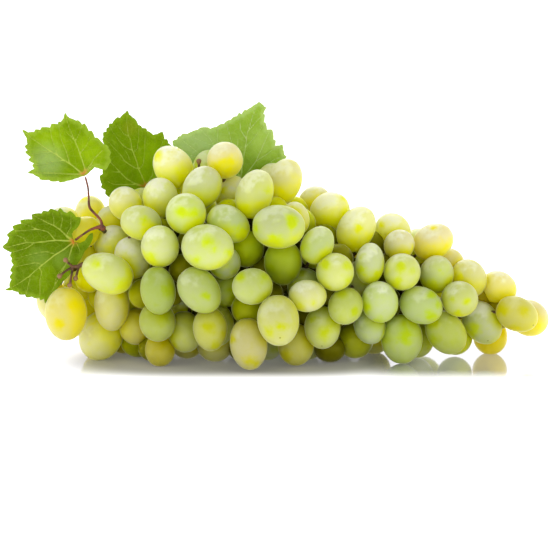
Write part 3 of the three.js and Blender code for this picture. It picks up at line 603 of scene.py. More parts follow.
@dataclass(frozen=True)
class Term:
    """A value carried by a node's socket, with the arithmetic that materials are written in."""

    board: Board
    socket: bpy.types.NodeSocket

    __add__ = __radd__ = arithmetic("ADD")
    __sub__ = arithmetic("SUBTRACT")
    __rsub__ = arithmetic("SUBTRACT", swapped=True)
    __mul__ = __rmul__ = arithmetic("MULTIPLY")
    __truediv__ = arithmetic("DIVIDE")
    most = arithmetic("MAXIMUM")

    def step(self, low: float, high: float) -> Term:
        """A soft step of this value.

        Args:
            low: Value at which the step starts at 0.
            high: Value at which it ends at 1, which may be the smaller.

        Returns:
            The stepped value.
        """
        ends = (low, high, 0.0, 1.0) if low <= high else (high, low, 1.0, 0.0)
        values = dict(enumerate((self, *ends)))
        return self.board.term("ShaderNodeMapRange", {"interpolation_type": "SMOOTHSTEP"}, values)

    def band(self, ends: Row) -> Term:
        """A soft rise between the first two places and a soft fall between the last two."""
        return self.step(*ends[:2]) * self.step(*ends[2:])

    def vector(self, operation: str, values: Values, output: Key = 0) -> Term:
        """A Vector Math node on this vector and further values."""
        return self.board.term("ShaderNodeVectorMath", {"operation": operation}, {0: self, **values}, output)


Number = Union[float, Term]
Paint = Union[Colour, Term]


class Board:
    """The node board of one material."""

    def __init__(self, name: str) -> None:
        """Makes an empty material.

        Args:
            name: The material's name.
        """
        self.material = bpy.data.materials.new(name)
        self.material.use_nodes = True
        self.tree = self.material.node_tree
        self.tree.nodes.clear()

    def node(self, kind: str, settings: Values, values: Values) -> bpy.types.Node:
        """Adds a node.

        Args:
            kind: The node's type.
            settings: Its settings, which are made first.
            values: Values or terms for its sockets, by number or name.

        Returns:
            The node.
        """
        node = self.tree.nodes.new(kind)
        for key, value in settings.items():
            setattr(node, key, value)
        for key, value in values.items():
            if isinstance(value, Term):
                self.tree.links.new(value.socket, node.inputs[key])
            else:
                node.inputs[key].default_value = value
        return node

    def term(self, kind: str, settings: Values, values: Values, output: Key = 0) -> Term:
        """Adds a node as node() does, and takes one of its outputs by number or name."""
        return Term(self, self.node(kind, settings, values).outputs[output])

    def place(self) -> Term:
        """The place on the piece, in metres."""
        return self.term("ShaderNodeTexCoord", {}, {}, "Object")

    def marks(self, *names: str) -> list[Term]:
        """Numbers written on the piece's corners, by their names."""
        return [self.term("ShaderNodeAttribute", {"attribute_name": name}, {}, "Fac") for name in names]

    def away(self, name: str) -> Term:
        """How long a vector is that is written on the piece's corners."""
        mark = self.term("ShaderNodeAttribute", {"attribute_name": name}, {}, "Vector")
        return mark.vector("LENGTH", {}, "Value")

    def noise(self, place: Term, size: float, detail: float = 2.0, rough: float = 0.5) -> Term:
        """Cloudy noise from 0 to 1, with clouds of a size in millimetres and finer layers of a strength."""
        values = {"Vector": place, "Scale": 1.0 / (size * MM), "Detail": detail, "Roughness": rough}
        return self.term("ShaderNodeTexNoise", {}, values)

    def cells(self, place: Term, size: float) -> Term:
        """Distance to the edges of a net of cells of a size in millimetres, in shares of a cell."""
        values = {"Vector": place, "Scale": 1.0 / (size * MM), "Randomness": 0.9}
        return self.term("ShaderNodeTexVoronoi", {"feature": "DISTANCE_TO_EDGE"}, values, "Distance")

    def mix(self, share: Number, first: Paint, second: Paint, blend: str = "MIX") -> Term:
        """Two colours mixed, by the share of the second and how it is laid on."""
        settings = {"data_type": "RGBA", "blend_type": blend, "clamp_factor": True, "clamp_result": True}
        return self.term("ShaderNodeMix", settings, {0: share, 6: first, 7: second}, 2)

    def shader(self, relief: Term, height: float, **sockets: object) -> Term:
        """A surface shader.

        Args:
            relief: Height of the relief from 0 to 1.
            height: Depth of the relief in millimetres.
            **sockets: The shader's sockets, with underscores for the spaces in their names.

        Returns:
            The shader.
        """
        values: Values = {key.replace("_", " "): value for key, value in sockets.items()}
        bump = {"Height": relief, "Distance": height * MM, "Strength": 1.0}
        values["Normal"] = self.term("ShaderNodeBump", {}, bump, "Normal")
        return self.term("ShaderNodeBsdfPrincipled", {}, values, "BSDF")

    def layered(self, share: Number, first: Term, second: Term) -> Term:
        """Two shaders laid over each other, with the share of the second."""
        return self.term("ShaderNodeMixShader", {}, {0: share, 1: first, 2: second})

    def close(self, shader: Term) -> Finish:
        """Closes the board with its shader."""
        self.node("ShaderNodeOutputMaterial", {}, {"Surface": shader})
        return self.material


@dataclass(frozen=True)
class BerrySkin:
    """Skin of a white grape: clear yellow-green to amber, under a pale bloom that is rubbed off in spots.

    A depth is how far light goes in, in millimetres, and a relief is how high the skin's grain is.
    """

    green: Colour = srgb(184, 212, 0)
    amber: Colour = srgb(236, 206, 0)
    # Painted shade and painted light: colours of hidden skin on berries that get little light, and brighter
    # glowing ones on berries that get more, standing in for light let through.
    green_shaded: Colour = srgb(188, 206, 0)
    amber_shaded: Colour = srgb(240, 206, 0)
    green_glow: Colour = srgb(216, 230, 0)
    amber_glow: Colour = srgb(255, 218, 0)
    # Painted shade: darker skin for bare berries that get little light, and the darkest for those deep inside.
    green_shade: Colour = srgb(148, 164, 0)
    amber_shade: Colour = srgb(220, 180, 0)
    deep: Colour = srgb(104, 102, 0)
    bloom: Colour = srgb(191, 197, 146)
    bloom_cool: Colour = srgb(179, 190, 154)
    bloom_warm: Colour = srgb(226, 211, 174)
    # Painted highlight laid on the bloom on the side that faces the light.
    white: Colour = srgb(238, 241, 226)
    scar: Colour = srgb(58, 40, 18)
    cloud_size: float = 8.0
    wide_size: float = 17.0
    brush_size: float = 3.4
    dust_size: float = 1.4
    # Painted light and shade: how much lighter or darker each berry is painted, and how much that widens its
    # painted highlight.
    lift: float = 0.32
    lift_of_light: float = 0.16
    thickness: float = 0.82
    light_share: float = 0.6
    scar_share: float = 0.7
    flesh_depth: float = 34.0
    bloom_depth: float = 18.0
    flesh_relief: float = 0.04
    bloom_relief: float = 0.06
    shine: float = 0.3
    sheen: float = 0.22

    def make(self, name: str) -> Finish:
        """Makes the skin.

        Args:
            name: The material's name.

        Returns:
            The material.
        """
        board = Board(name)
        place = board.place()
        ripe, bare, cool, touch, rubbed = board.marks("ripe", "bare", "cool", "touch", "rubbed")
        high, sky, lift = board.marks("high", "sky", "lift")
        clouds, wide, brush = (
            board.noise(place, size, detail) - 0.5
            for size, detail in ((self.cloud_size, 2.0), (self.wide_size, 1.0), (self.brush_size, 2.0))
        )
        dust = board.noise(place, self.dust_size, 3.0, 0.6) - 0.5
        spots = (rubbed * 0.9 + clouds * 1.8 + brush * 0.8 + wide * 0.5).step(0.0, 0.95)
        # Partly real and partly painted shade: the bloom is rubbed off where berries meet, and the same share
        # lays painted shade on the side turned away from the light and near the floor.
        hidden = (touch + clouds * 0.9 + brush * 0.3).step(-0.05, 1.2)
        cover = (1.0 - spots * 0.96) * (1.0 - hidden * 0.97) * (1.0 - bare).most(0.0)
        cover = cover * (self.thickness + clouds * 0.9 + wide * 0.6 + brush * 0.5 + dust * 0.15)
        # Painted highlight: the bloom is whitened on the side that faces up, left and forwards, more so on the
        # lighter berries.
        lit = (sky + lift * self.lift_of_light + clouds * 1.6 + brush * 0.9).step(0.55, 1.15)
        # Painted light and shade: skin and bloom are made lighter or darker berry by berry, for how much light
        # reaches each.
        painted_brightness = 1.0 + lift * self.lift
        shaded_skin, glow, skin, shade = (
            board.mix(ripe, green, amber)
            for green, amber in (
                (self.green_shaded, self.amber_shaded),
                (self.green_glow, self.amber_glow),
                (self.green, self.amber),
                (self.green_shade, self.amber_shade),
            )
        )
        # Painted shade and painted light: hidden skin takes the shaded colours low in the bunch and the glowing
        # ones where more light reaches, standing in for light let through the berry.
        skin = board.mix(hidden, skin, board.mix(high, shaded_skin, glow))
        # Painted shade: bare berries that get little light are darkened, and those deep inside the darkest.
        unlit = 1.0 - high * high * high
        skin = board.mix(bare * unlit, skin, shade)
        skin = board.mix((bare - 1.0) * unlit, skin, self.deep)
        skin = board.mix(1.0, skin, painted_brightness, "MULTIPLY")
        pale = board.mix(ripe, board.mix(cool, self.bloom, self.bloom_cool), self.bloom_warm)
        pale = board.mix(1.0, board.mix(lit * self.light_share, pale, self.white), painted_brightness, "MULTIPLY")
        scar = board.away("from_scar").step(0.6, 0.3) * self.scar_share
        grain = dust + clouds * 0.6
        gleam = {"Specular_IOR_Level": self.shine, "Sheen_Weight": 1.0, "Sheen_Roughness": self.sheen}
        flesh = board.shader(
            grain,
            self.flesh_relief,
            Base_Color=board.mix(scar, skin, self.scar),
            Roughness=0.3,
            Specular_Tint=(1.0, 1.0, 0.15, 1.0),
            Sheen_Tint=(1.0, 1.0, 0.55, 1.0),
            Subsurface_Weight=1.0,
            Subsurface_Radius=(1.0, 0.95, 0.16),
            Subsurface_Scale=self.flesh_depth * MM,
            **gleam,
        )
        bloom = board.shader(
            grain,
            self.bloom_relief,
            Base_Color=pale,
            Roughness=0.45,
            Sheen_Tint=(1.0, 1.0, 0.8, 1.0),
            Subsurface_Weight=1.0,
            Subsurface_Radius=(1.0, 1.0, 0.8),
            Subsurface_Scale=self.bloom_depth * MM,
            **gleam,
        )
        return board.close(board.layered(cover * (1.0 - scar), flesh, bloom))


@dataclass(frozen=True)
class StemBark:
    """Woody skin of a stem: reddish brown with darker streaks and pale nicks."""

    brown: Colour
    dark: Colour
    pale: Colour
    roughness: float = 0.55
    cloud_size: float = 4.0
    streak_size: float = 0.7
    streak_share: float = 0.55
    relief: float = 0.18
    depth: float = 0.6

    def make(self, name: str) -> Finish:
        """Makes the bark.

        Args:
            name: The material's name.

        Returns:
            The material.
        """
        board = Board(name)
        place = board.place()
        clouds = board.noise(place, self.cloud_size, 3.0, 0.6)
        streaks = board.noise(place.vector("MULTIPLY", {1: (1.0, 1.0, 0.35)}), self.streak_size, 3.0, 0.65)
        (knob,) = board.marks("knob")
        colour = board.mix(clouds.step(0.35, 0.7), self.brown, self.dark)
        colour = board.mix(streaks.step(0.58, 0.74) * self.streak_share, colour, self.pale)
        shader = board.shader(
            streaks,
            self.relief,
            Base_Color=board.mix(knob, colour, self.pale),
            Roughness=self.roughness + (streaks - 0.5) * 0.2,
            Subsurface_Weight=0.05,
            Subsurface_Radius=(1.0, 0.4, 0.2),
            Subsurface_Scale=self.depth * MM,
        )
        return board.close(shader)


@dataclass(frozen=True)
class LeafBlade:
    """A vine leaf's blade: green, with pale veins, a fine net between them and a warm tint at its base."""

    green: Colour
    bright: Colour
    edge: Colour
    vein: Colour
    base: Colour
    patch: Colour
    patch_share: float = 0.0
    back: Colour = srgb(150, 176, 92)
    cloud_size: float = 7.0
    fine_size: float = 1.1
    net_size: float = 3.2
    mesh_size: float = 1.15
    bend_scale: float = 420.0
    bend: float = 1.2
    base_size: float = 4.0
    relief: float = 0.3
    roughness: float = 0.52
    depth: float = 0.9

    def make(self, name: str) -> Finish:
        """Makes the blade.

        Args:
            name: The material's name.

        Returns:
            The material.
        """
        board = Board(name)
        place = board.place()
        side, rim, patch, bright, back = board.marks("rib_side", "rim", "patch", "bright", "back")
        clouds = board.noise(place, self.cloud_size, 3.0, 0.55) - 0.5
        fine = board.noise(place, self.fine_size, 3.0, 0.6)
        sway = board.term("ShaderNodeTexNoise", {}, {"Vector": place, "Scale": self.bend_scale}, 1)
        bent = place.vector("ADD", {1: sway.vector("SCALE", {"Scale": self.bend * MM})})
        rib = side.step(0.28, -0.1)
        net = board.cells(bent, self.net_size).step(0.075, 0.0)
        mesh = board.cells(bent, self.mesh_size).step(0.11, 0.0)
        tint = (board.away("from_base") + clouds * 3.0).step(self.base_size, 0.0)
        colour: Paint = self.green
        for share, paint in (
            (bright * 0.8 + clouds * 0.7, self.bright),
            (patch * self.patch_share, self.patch),
            ((rim + clouds * 0.3).step(0.55, 1.05) * 0.6, self.edge),
            ((fine - 0.5).step(0.02, 0.2) * 0.14, self.bright),
            (mesh * 0.07, self.vein),
            (net * 0.12, self.vein),
            (rib * 0.85, self.vein),
            (tint * (0.25 + rib * 0.6), self.base),
            (back * 0.55, self.back),
        ):
            colour = board.mix(share, colour, paint)
        shader = board.shader(
            rib * 0.7 + net * 0.25 + mesh * 0.1 + fine * 0.12,
            self.relief,
            Base_Color=colour,
            Roughness=self.roughness + (fine - 0.5) * 0.16 + back * 0.12,
            Specular_IOR_Level=0.12,
            Specular_Tint=(1.0, 1.0, 0.1, 1.0),
            Subsurface_Weight=0.3,
            Subsurface_Radius=(0.7, 1.0, 0.2),
            Subsurface_Scale=self.depth * MM,
        )
        return board.close(shader)


@dataclass
class Berry:
    """One grape: its middle, half its width and length in millimetres, and its long axis out of the bunch."""

    place: Array
    radius: float
    half: float
    axis: Array
    row: int = -1

    def reach(self, way: Array) -> float:
        """Half width in a direction, measured square to a touching plane."""
        along = float(self.axis @ way)
        return math.sqrt(self.half**2 * along * along + self.radius**2 * (1 - along * along))


class Crowd:
    """Berries or small obstacles, kept side by side so that a new berry is tested against all at once."""

    def __init__(self, room: int = 4096) -> None:
        """Starts an empty crowd, with room for a number of members."""
        self.members: list[Berry] = []
        self.rows = np.empty((room, 8))

    def add(self, berry: Berry) -> None:
        """Adds a berry."""
        self.rows[len(self.members)] = (*berry.place, *berry.axis, berry.radius, berry.half)
        self.members.append(berry)

    def clear(self, berry: Berry, press: float) -> bool:
        """Whether a berry stands clear of the crowd, but for a little pressing.

        Args:
            berry: The new berry.
            press: How far it may press into another, in millimetres.

        Returns:
            Whether it stands clear of all.
        """
        rows = self.rows[: len(self.members)]
        between = rows[:, :3] - berry.place
        distance = np.sqrt((between**2).sum(axis=1))
        way = between / distance[:, None]
        own = way @ berry.axis
        theirs = (way * rows[:, 3:6]).sum(axis=1)
        need = np.sqrt(berry.half**2 * own**2 + berry.radius**2 * (1 - own**2))
        need += np.sqrt(rows[:, 7] ** 2 * theirs**2 + rows[:, 6] ** 2 * (1 - theirs**2))
        return bool((distance > need - press).all())


@dataclass
class Growth:
    """How the bunch has grown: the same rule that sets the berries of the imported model, and those further in.

    A press is how far a berry may press into another. The front berries are slid back by the step, no deeper
    than the deepest. Those behind are turned round the bunch from one angle to another, in degrees. Those
    inside are tried at steps along and round the bunch, and the low ones at steps over the floor.
    """

    plump: float = 1.2
    press: float = 0.7
    press_deep: float = 2.0
    press_back: float = 1.8
    press_inside: float = 2.6
    press_low: float = 3.2
    rest: float = 0.45
    step: float = 0.5
    deepest: float = 70.0
    gap: float = 0.35
    spare: float = 0.3
    blade: float = 0.7
    back_share: float = 0.86
    centres_in: float = 10.0
    front_in: float = 6.0
    flattest: float = 0.03
    front_ones: int = 42
    passes: tuple[float, ...] = (1.0, 0.94, 0.87, 0.8)
    turns: Triple = (-100, 150, 5)
    behind_along: range = range(-112, 129, 2)
    least: float = 8.9
    spread: float = 1.3
    longer: float = 1.14
    longer_spread: float = 0.12
    sway: float = 3.0
    lean: float = 0.9
    top_gap: float = 2.0
    front_end: float = -4.0
    front_low: float = -0.3
    low_start: float = -0.5
    under: float = 4.0
    inner_passes: tuple[float, ...] = (0.7, 0.58, 0.44, 0.3, 0.12)
    inner_along: range = range(-104, 122, 3)
    inner_turns: range = range(0, 360, 12)
    inner_turn: float = 11.0
    inner_sway: float = 1.0
    inner_radius: Pair = (7.0, 8.6)
    inner_length: float = 1.15
    low_along: range = range(-96, 44, 3)
    low_depth: range = range(-16, 32, 3)
    low_radius: Pair = (7.0, 8.4)
    low_length: float = 1.12
    low_sunk: float = 0.2
    inner_end: float = -89.0
    inner_low: float = 12.0
    fillers: Rows = ((112.0, 2.0, 22.0), (102.5, 4.0, 31.0))
    filler_size: Pair = (7.6, 8.4)
    crowd: Crowd = field(default_factory=Crowd)
    kept: Crowd = field(default_factory=Crowd)
    draw: Draw = field(default_factory=lambda: Draw(20))

    def rachis_near(self, place: Array) -> Array:
        """The nearest point of the rachis to a place.

        Args:
            place: The place in millimetres.

        Returns:
            The point on the rachis.
        """
        best, least = np.zeros(3), math.inf
        for low, high in zip(RACHIS, RACHIS[1:]):
            start, end = np.array(low[:3], float), np.array(high[:3], float)
            way = end - start
            share = min(1.0, max(0.0, float((place - start) @ way) / float(way @ way)))
            near = start + share * way
            distance = float(np.linalg.norm(near - place))
            if distance < least:
                best, least = near, distance
        return best

    def berry_at(self, entry: Row, depth: float) -> Berry:
        """A berry seen on the front elevation, at a depth.

        Args:
            entry: Across, up, width, length and lean of its long side in degrees.
            depth: Depth of its middle.

        Returns:
            The berry, raised to rest on the floor where it would sink into it.
        """
        across, up, width, length, lean = entry[:5]
        place, scale = ELEVATION.place(across, up, depth), ELEVATION.scale(up, depth)
        radius, long_seen = width / 2 * scale, length / 2 * scale
        half = max(long_seen, self.plump * radius)
        flat = math.sqrt(max(0.0, (long_seen**2 - radius**2) / (half**2 - radius**2)))
        tilt = math.radians(lean)
        axis = np.array([math.sin(tilt) * flat, -math.sqrt(max(0.0, 1 - flat * flat)), math.cos(tilt) * flat])
        outwards = place - self.rachis_near(place)
        if axis[0] * outwards[0] + axis[2] * outwards[2] < 0:
            axis[0], axis[2] = -axis[0], -axis[2]
        berry = Berry(place, radius, half, unit(axis))
        place[2] = max(place[2], berry.reach(UP) - self.rest)
        return berry

    def front_depth(self, across: float, up: float) -> float:
        """Depth of the front of the bunch, to the berries' middles, at a place on the elevation."""
        depth, middle = profile(DEPTHS, across), profile(HEIGHTS, across) / 2
        above = max(0.0, up + depth * math.sin(ELEVATION.above) - middle) / (middle - self.front_in)
        return -depth * math.sqrt(max(self.flattest, 1 - above * above))

    def block(self, across: float, up: float, depth: float, thick: float) -> None:
        """Keeps berries off a place on the elevation, by half the thickness of what is there."""
        radius = thick + self.gap + self.press + self.spare
        self.kept.add(Berry(ELEVATION.place(across, up, depth), radius, radius, UP))

    def keep_off(self, stalk: Rows) -> None:
        """Keeps berries off a stalk.

        Args:
            stalk: Rows of across, up, depth and radius.
        """
        for low, high in zip(stalk, stalk[1:]):
            for share in (0.0, 0.25, 0.5, 0.75, 1.0):
                self.block(*(a + share * (b - a) for a, b in zip(low, high)))

    def keep_off_leaf(self, leaf: Leaf) -> None:
        """Keeps berries off a leaf.

        Args:
            leaf: The leaf.
        """
        for share in (0.25, 0.5, 0.75, 1.0):
            for across, up in leaf.points(leaf.edge):
                x = leaf.middle[0] + share * (across - leaf.middle[0])
                z = leaf.middle[1] + share * (up - leaf.middle[1])
                self.block(x, z, float(leaf.depth_at(np.array(x), np.array(z))), self.blade / 2)

    def fits(self, berry: Berry, press: float) -> bool:
        """Whether a berry stands clear of those set and of the stalks and leaves."""
        return self.crowd.clear(berry, press) and self.kept.clear(berry, self.press)

    def set_front(self) -> None:
        """Sets the front berries, each slid back along the line of sight until it is clear of the nearer."""
        for i, entry in enumerate(BERRIES):
            press = self.press if i < self.front_ones else self.press_deep
            depth = entry[5] if len(entry) > 5 else self.front_depth(entry[0], entry[1])
            berry = self.berry_at(entry, depth)
            while depth < self.deepest and not self.fits(berry, press):
                depth += self.step
                berry = self.berry_at(entry, depth)
            berry.row = i
            self.crowd.add(berry)

    def behind(self, x: float, turn: float, share: float) -> Union[Berry, None]:
        """Draws a berry of the back, the top behind or the underside.

        Args:
            x: Place along the bunch.
            turn: Angle round it in degrees, from straight behind.
            share: Share of the way out at which it is set.

        Returns:
            The berry, or None where it would stand out of the bunch's outline.
        """
        height, depth = profile(HEIGHTS, x), profile(DEPTHS, x) * share
        radius = self.least + self.spread * self.draw.next()
        half = radius * (self.longer + self.longer_spread * self.draw.next())
        across = x + self.sway * (self.draw.next() - 0.5)
        lean = self.lean * (self.draw.next() - 0.5)
        back, up = math.cos(math.radians(turn)), math.sin(math.radians(turn))
        reach_up = (height / 2 - self.centres_in) * share
        place = np.array([across, back * depth * self.back_share, height / 2 + up * reach_up])
        berry = Berry(place, radius, half, unit(np.array([lean, back, up])))
        low = berry.reach(UP)
        if up < self.low_start:
            place[2] -= self.under
        place[2] = max(place[2], low - self.rest)
        place[2] -= max(0.0, float(ELEVATION.seen(place)[1]) + low - height + self.top_gap)
        sunk = place[2] < low - self.rest or float(ELEVATION.seen(place)[1]) - low < profile(LOWS, across)
        in_front = place[1] < self.front_end and up > self.front_low
        return None if sunk or in_front else berry

    def set_behind(self, share: float) -> None:
        """Sets the berries of the back, the top behind and the underside where there is room.

        Args:
            share: Share of the way out at which they are set.
        """
        first, last, step = self.turns
        for x in self.behind_along:
            turn = first + self.draw.next() * step
            while turn < last:
                berry = self.behind(x, turn, share)
                if berry is not None and self.fits(berry, self.press_back):
                    self.crowd.add(berry)
                turn += step

    def grow(self, leaves: Sequence[Leaf]) -> tuple[list[Berry], list[Berry]]:
        """Sets all the berries.

        Args:
            leaves: The leaves, which the berries keep off.

        Returns:
            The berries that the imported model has, and the smaller ones further in.
        """
        stalks = (STALK_UPPER, STALK_LOWER, TWIG, *TWIG_ENDS, *BACK_STALKS.values())
        for stalk in ((JOINT, STALK_UPPER[1]), *stalks):
            self.keep_off(stalk)
        for leaf in leaves:
            self.keep_off_leaf(leaf)
        self.set_front()
        for share in self.passes:
            self.set_behind(share)
        outer = list(self.crowd.members)
        self.set_inside()
        inner = self.crowd.members[len(outer) :]
        for berry in inner:
            if berry.place[2] < self.inner_low:
                berry.place[0] = max(berry.place[0], self.inner_end)
        return outer, inner

    def set_inside(self) -> None:
        """Fills the middle of the bunch with smaller berries, where there is room."""
        for share in self.inner_passes:
            for x in self.inner_along:
                height, depth = profile(HEIGHTS, x), profile(DEPTHS, x) * share
                for turn in self.inner_turns:
                    angle = math.radians(turn + self.inner_turn * self.draw.next())
                    radius = self.draw.between(*self.inner_radius)
                    back, up = math.cos(angle), math.sin(angle)
                    reach_up = (height / 2 - self.centres_in) * share
                    deep = depth * (self.back_share if back > 0 else 1.0)
                    along = x + self.draw.between(-self.inner_sway, self.inner_sway)
                    place = np.array([along, back * deep, height / 2 + up * reach_up])
                    berry = Berry(place, radius, radius * self.inner_length, np.array([0.0, back, up]))
                    if place[2] > berry.half and self.fits(berry, self.press_inside):
                        self.crowd.add(berry)
        for x in self.low_along:
            for y in self.low_depth:
                radius = self.draw.between(*self.low_radius)
                place, axis = np.array([x, y, radius - self.low_sunk]), np.array([1.0, 0.0, 0.0])
                berry = Berry(place, radius, radius * self.low_length, axis)
                if self.fits(berry, self.press_low):
                    self.crowd.add(berry)
        for place in self.fillers:
            self.crowd.add(Berry(np.array(place), *self.filler_size, UP))


class Share(Enum):
    """The pieces that the berries are gathered in, by where they grow."""

    STALK_END = "berries_stalk_end"
    SHOULDER = "berries_shoulder"
    MIDDLE = "berries_middle"
    FAR = "berries_far"
    TIP = "berries_tip"
    BACK_STALK_END = "berries_back_stalk_end"
    BACK_MIDDLE = "berries_back_middle"
    BACK_TIP = "berries_back_tip"
    INSIDE = "berries_inside"

    @staticmethod
    def of(berry: Berry, inside: bool) -> Share:
        """The piece that a berry belongs to.

        Args:
            berry: The berry.
            inside: Whether it is one of those further in.

        Returns:
            The piece.
        """
        if inside:
            return Share.INSIDE
        ends = ((-62, Share.STALK_END), (-20, Share.SHOULDER), (25, Share.MIDDLE), (70, Share.FAR))
        last = Share.TIP
        if berry.row < 0:
            ends, last = ((-35, Share.BACK_STALK_END), (45, Share.BACK_MIDDLE)), Share.BACK_TIP
        return next((share for end, share in ends if berry.place[0] < end), last)


@dataclass
class Bunch:
    """The berries, modelled once and copied to their places.

    A pair says from where to where something changes, or between what it is drawn.
    """

    growth: Growth
    facets: tuple[int, int] = (30, 20)
    facets_inside: tuple[int, int] = (16, 11)
    near: float = 6.8
    touching: float = 0.4
    # Painted shade: how much the side turned away from the outward cap gets and from which facing, how much
    # near the floor, how far the cap is tipped to the left, and the way it is stronger near neighbours.
    side: float = 0.85
    turned: Pair = (0.65, -0.3)
    floor: float = 0.4
    aside: float = -0.35
    shaded: Triple = (0.5, 0.0, -0.86)
    # Painted highlight: the way the whitened side of each berry faces.
    sky: Triple = (-0.3, -0.45, 0.84)
    # Painted shade: berries inside that lie further forward than this are painted darkest.
    hidden_to: float = 12.0
    # Painted light: how far the outward cap is tipped up on berries that get more light from above, and between
    # which heights.
    rise: float = 0.5
    rise_over: Pair = (15.0, 60.0)
    egg: float = 0.05
    lit_from: Pair = (22.0, 75.0)
    lit_inside: Pair = (32.0, 82.0)
    lit_stalk_end: Pair = (-40.0, -80.0)
    lit_tip: Pair = (40.0, 100.0)
    tip_share: float = 0.8
    ripe_end: Pair = (40.0, 110.0)
    amber: Pair = (0.35, 0.8)
    green: Pair = (0.0, 0.2)
    cool: Pair = (0.1, 0.8)
    bare: Pair = (0.0, 0.3)
    spots: int = 3
    spot_size: Pair = (2.0, 4.0)
    spot_share: float = 0.9
    scar_share: float = 0.1
    scar_out: float = 0.97
    draw: Draw = field(default_factory=lambda: Draw(77))

    def master(self, around: int, rings: int) -> Piece:
        """Models one berry of unit size, its stalk end down and its far end up.

        Args:
            around: Facets round it.
            rings: Rings from end to end.

        Returns:
            The berry.
        """
        Bench.clear()
        bpy.ops.mesh.primitive_uv_sphere_add(segments=around, ring_count=rings, radius=1.0)
        berry = Bench.named("berry_shape")
        Bench.select(berry, low=0.9)
        Bench.widen((1.06, 1.06, 0.93), 0.9)
        Bench.select(berry, low=0.993)
        bpy.ops.transform.translate(value=(0.0, 0.0, -0.012))
        Bench.select(berry, high=-0.9)
        Bench.widen((1.08, 1.08, 0.8), -0.9)
        Bench.select(berry, high=-0.975)
        bpy.ops.transform.translate(value=(0.0, 0.0, 0.02))
        Bench.take(berry)
        bpy.ops.object.shade_smooth()
        return berry

    def placed(self, master: Piece, berry: Berry) -> Piece:
        """A copy of the master at a berry's place.

        Args:
            master: The berry shape.
            berry: The berry.

        Returns:
            The copy, with its place in its mesh.
        """
        copy = Bench.copy(master)
        places = Bench.places(copy.data)
        egg = self.draw.between(-self.egg, self.egg)
        places[:, :2] *= (1 + egg * places[:, 2] - abs(egg) * 0.4)[:, None]
        roll = np.array(Matrix.Rotation(self.draw.between(0.0, math.tau), 3, "Z"))
        sized = places * np.array([berry.radius, berry.radius, berry.half])
        world = sized @ roll.T @ turn_to(berry.axis).T + berry.place
        world[:, 2] = np.maximum(world[:, 2], 0.0)
        Bench.set_out(copy.data, world)
        return copy

    def height_share(self, places: Array, low: float, top: float) -> Array:
        """How much light reaches places from above, or from beyond the ends of the bunch.

        Args:
            places: Places in millimetres, before the shift.
            low: Height up to which none comes from above.
            top: Height from which all of it does.

        Returns:
            One number from 0 to 1 for each place.
        """
        tip = self.tip_share * smooth(*self.lit_tip, places[:, 0])
        ends = np.maximum(smooth(*self.lit_stalk_end, places[:, 0]), tip)
        return np.maximum(smooth(low, top, places[:, 2]), ends)

    def touches(self, places: Array, berry: Berry, others: Sequence[Berry]) -> Array:
        """How near the skin of a berry is to those round it, with painted shade laid over that, from 0 on its
        outward cap to 1 where they meet. Painted shade is added on the side turned away from the cap, which is
        tipped up and to the left, near the floor, and more strongly near neighbours where the skin faces down
        and to the right.

        Args:
            places: Places on the skin in millimetres, before the shift.
            berry: The berry.
            others: All the berries.

        Returns:
            One number for each place.
        """
        out = places - berry.place
        far = np.linalg.norm(out, axis=1)
        # Painted light: the outward cap is tipped to the left, and upwards on berries that get more light from
        # above, so the painted shade gathers low on the right.
        rise = self.rise * float(self.height_share(berry.place[None], *self.rise_over)[0])
        outwards = unit(berry.place - self.growth.rachis_near(berry.place))
        outwards = outwards + np.array([self.aside, 0.0, rise])
        facing = (out @ outwards) / (far * np.linalg.norm(outwards))
        # Painted shade: nearness to neighbours counts more where the skin faces down and to the right.
        under = 0.7 + 0.45 * smooth(-0.6, 0.6, out @ np.array(self.shaded) / far)
        # Painted shade near the floor and on the side turned away from the outward cap.
        touch = self.floor * smooth(self.near, 0.0, places[:, 2])
        touch = np.maximum(touch, self.side * smooth(*self.turned, facing))
        for other in others:
            reach = berry.half + other.half + self.near
            if other is berry or float(((other.place - berry.place) ** 2).sum()) > reach * reach:
                continue
            offset = places - other.place
            along = offset @ other.axis
            square = (offset**2).sum(axis=1)
            size = np.sqrt((square - along**2) / other.radius**2 + along**2 / other.half**2)
            distance = (size - 1) * np.sqrt(square) / np.maximum(size, 0.2)
            touch = np.maximum(touch, smooth(self.near, self.touching, distance) * under)
        return touch

    def rubs(self, places: Array, berry: Berry) -> Array:
        """Where the bloom is rubbed off a berry, from 0 to 1.

        Args:
            places: Places on the skin in millimetres, before the shift.
            berry: The berry.

        Returns:
            One number for each place.
        """
        rubbed = np.zeros(len(places))
        listed = [spot for spot in SPOTS if spot[0] == berry.row]
        facing = places[:, 1] < berry.place[1] + 0.35 * berry.radius
        for _, across, up, size in listed:
            distance = ELEVATION.off(places, across, up)
            rubbed = np.maximum(rubbed, smooth(size * 1.8, 0.0, distance) * facing)
        for _ in range(self.spots):
            way = np.array([self.draw.between(-1, 1) for _ in range(3)])
            size = self.draw.between(*self.spot_size)
            if listed and way[1] < 0.3:
                continue
            spot = berry.place + way / (np.linalg.norm(way) + 1e-6) * berry.radius
            distance = np.linalg.norm(places - spot, axis=1)
            rubbed = np.maximum(rubbed, smooth(size * 1.6, 0.0, distance) * self.spot_share)
        return rubbed

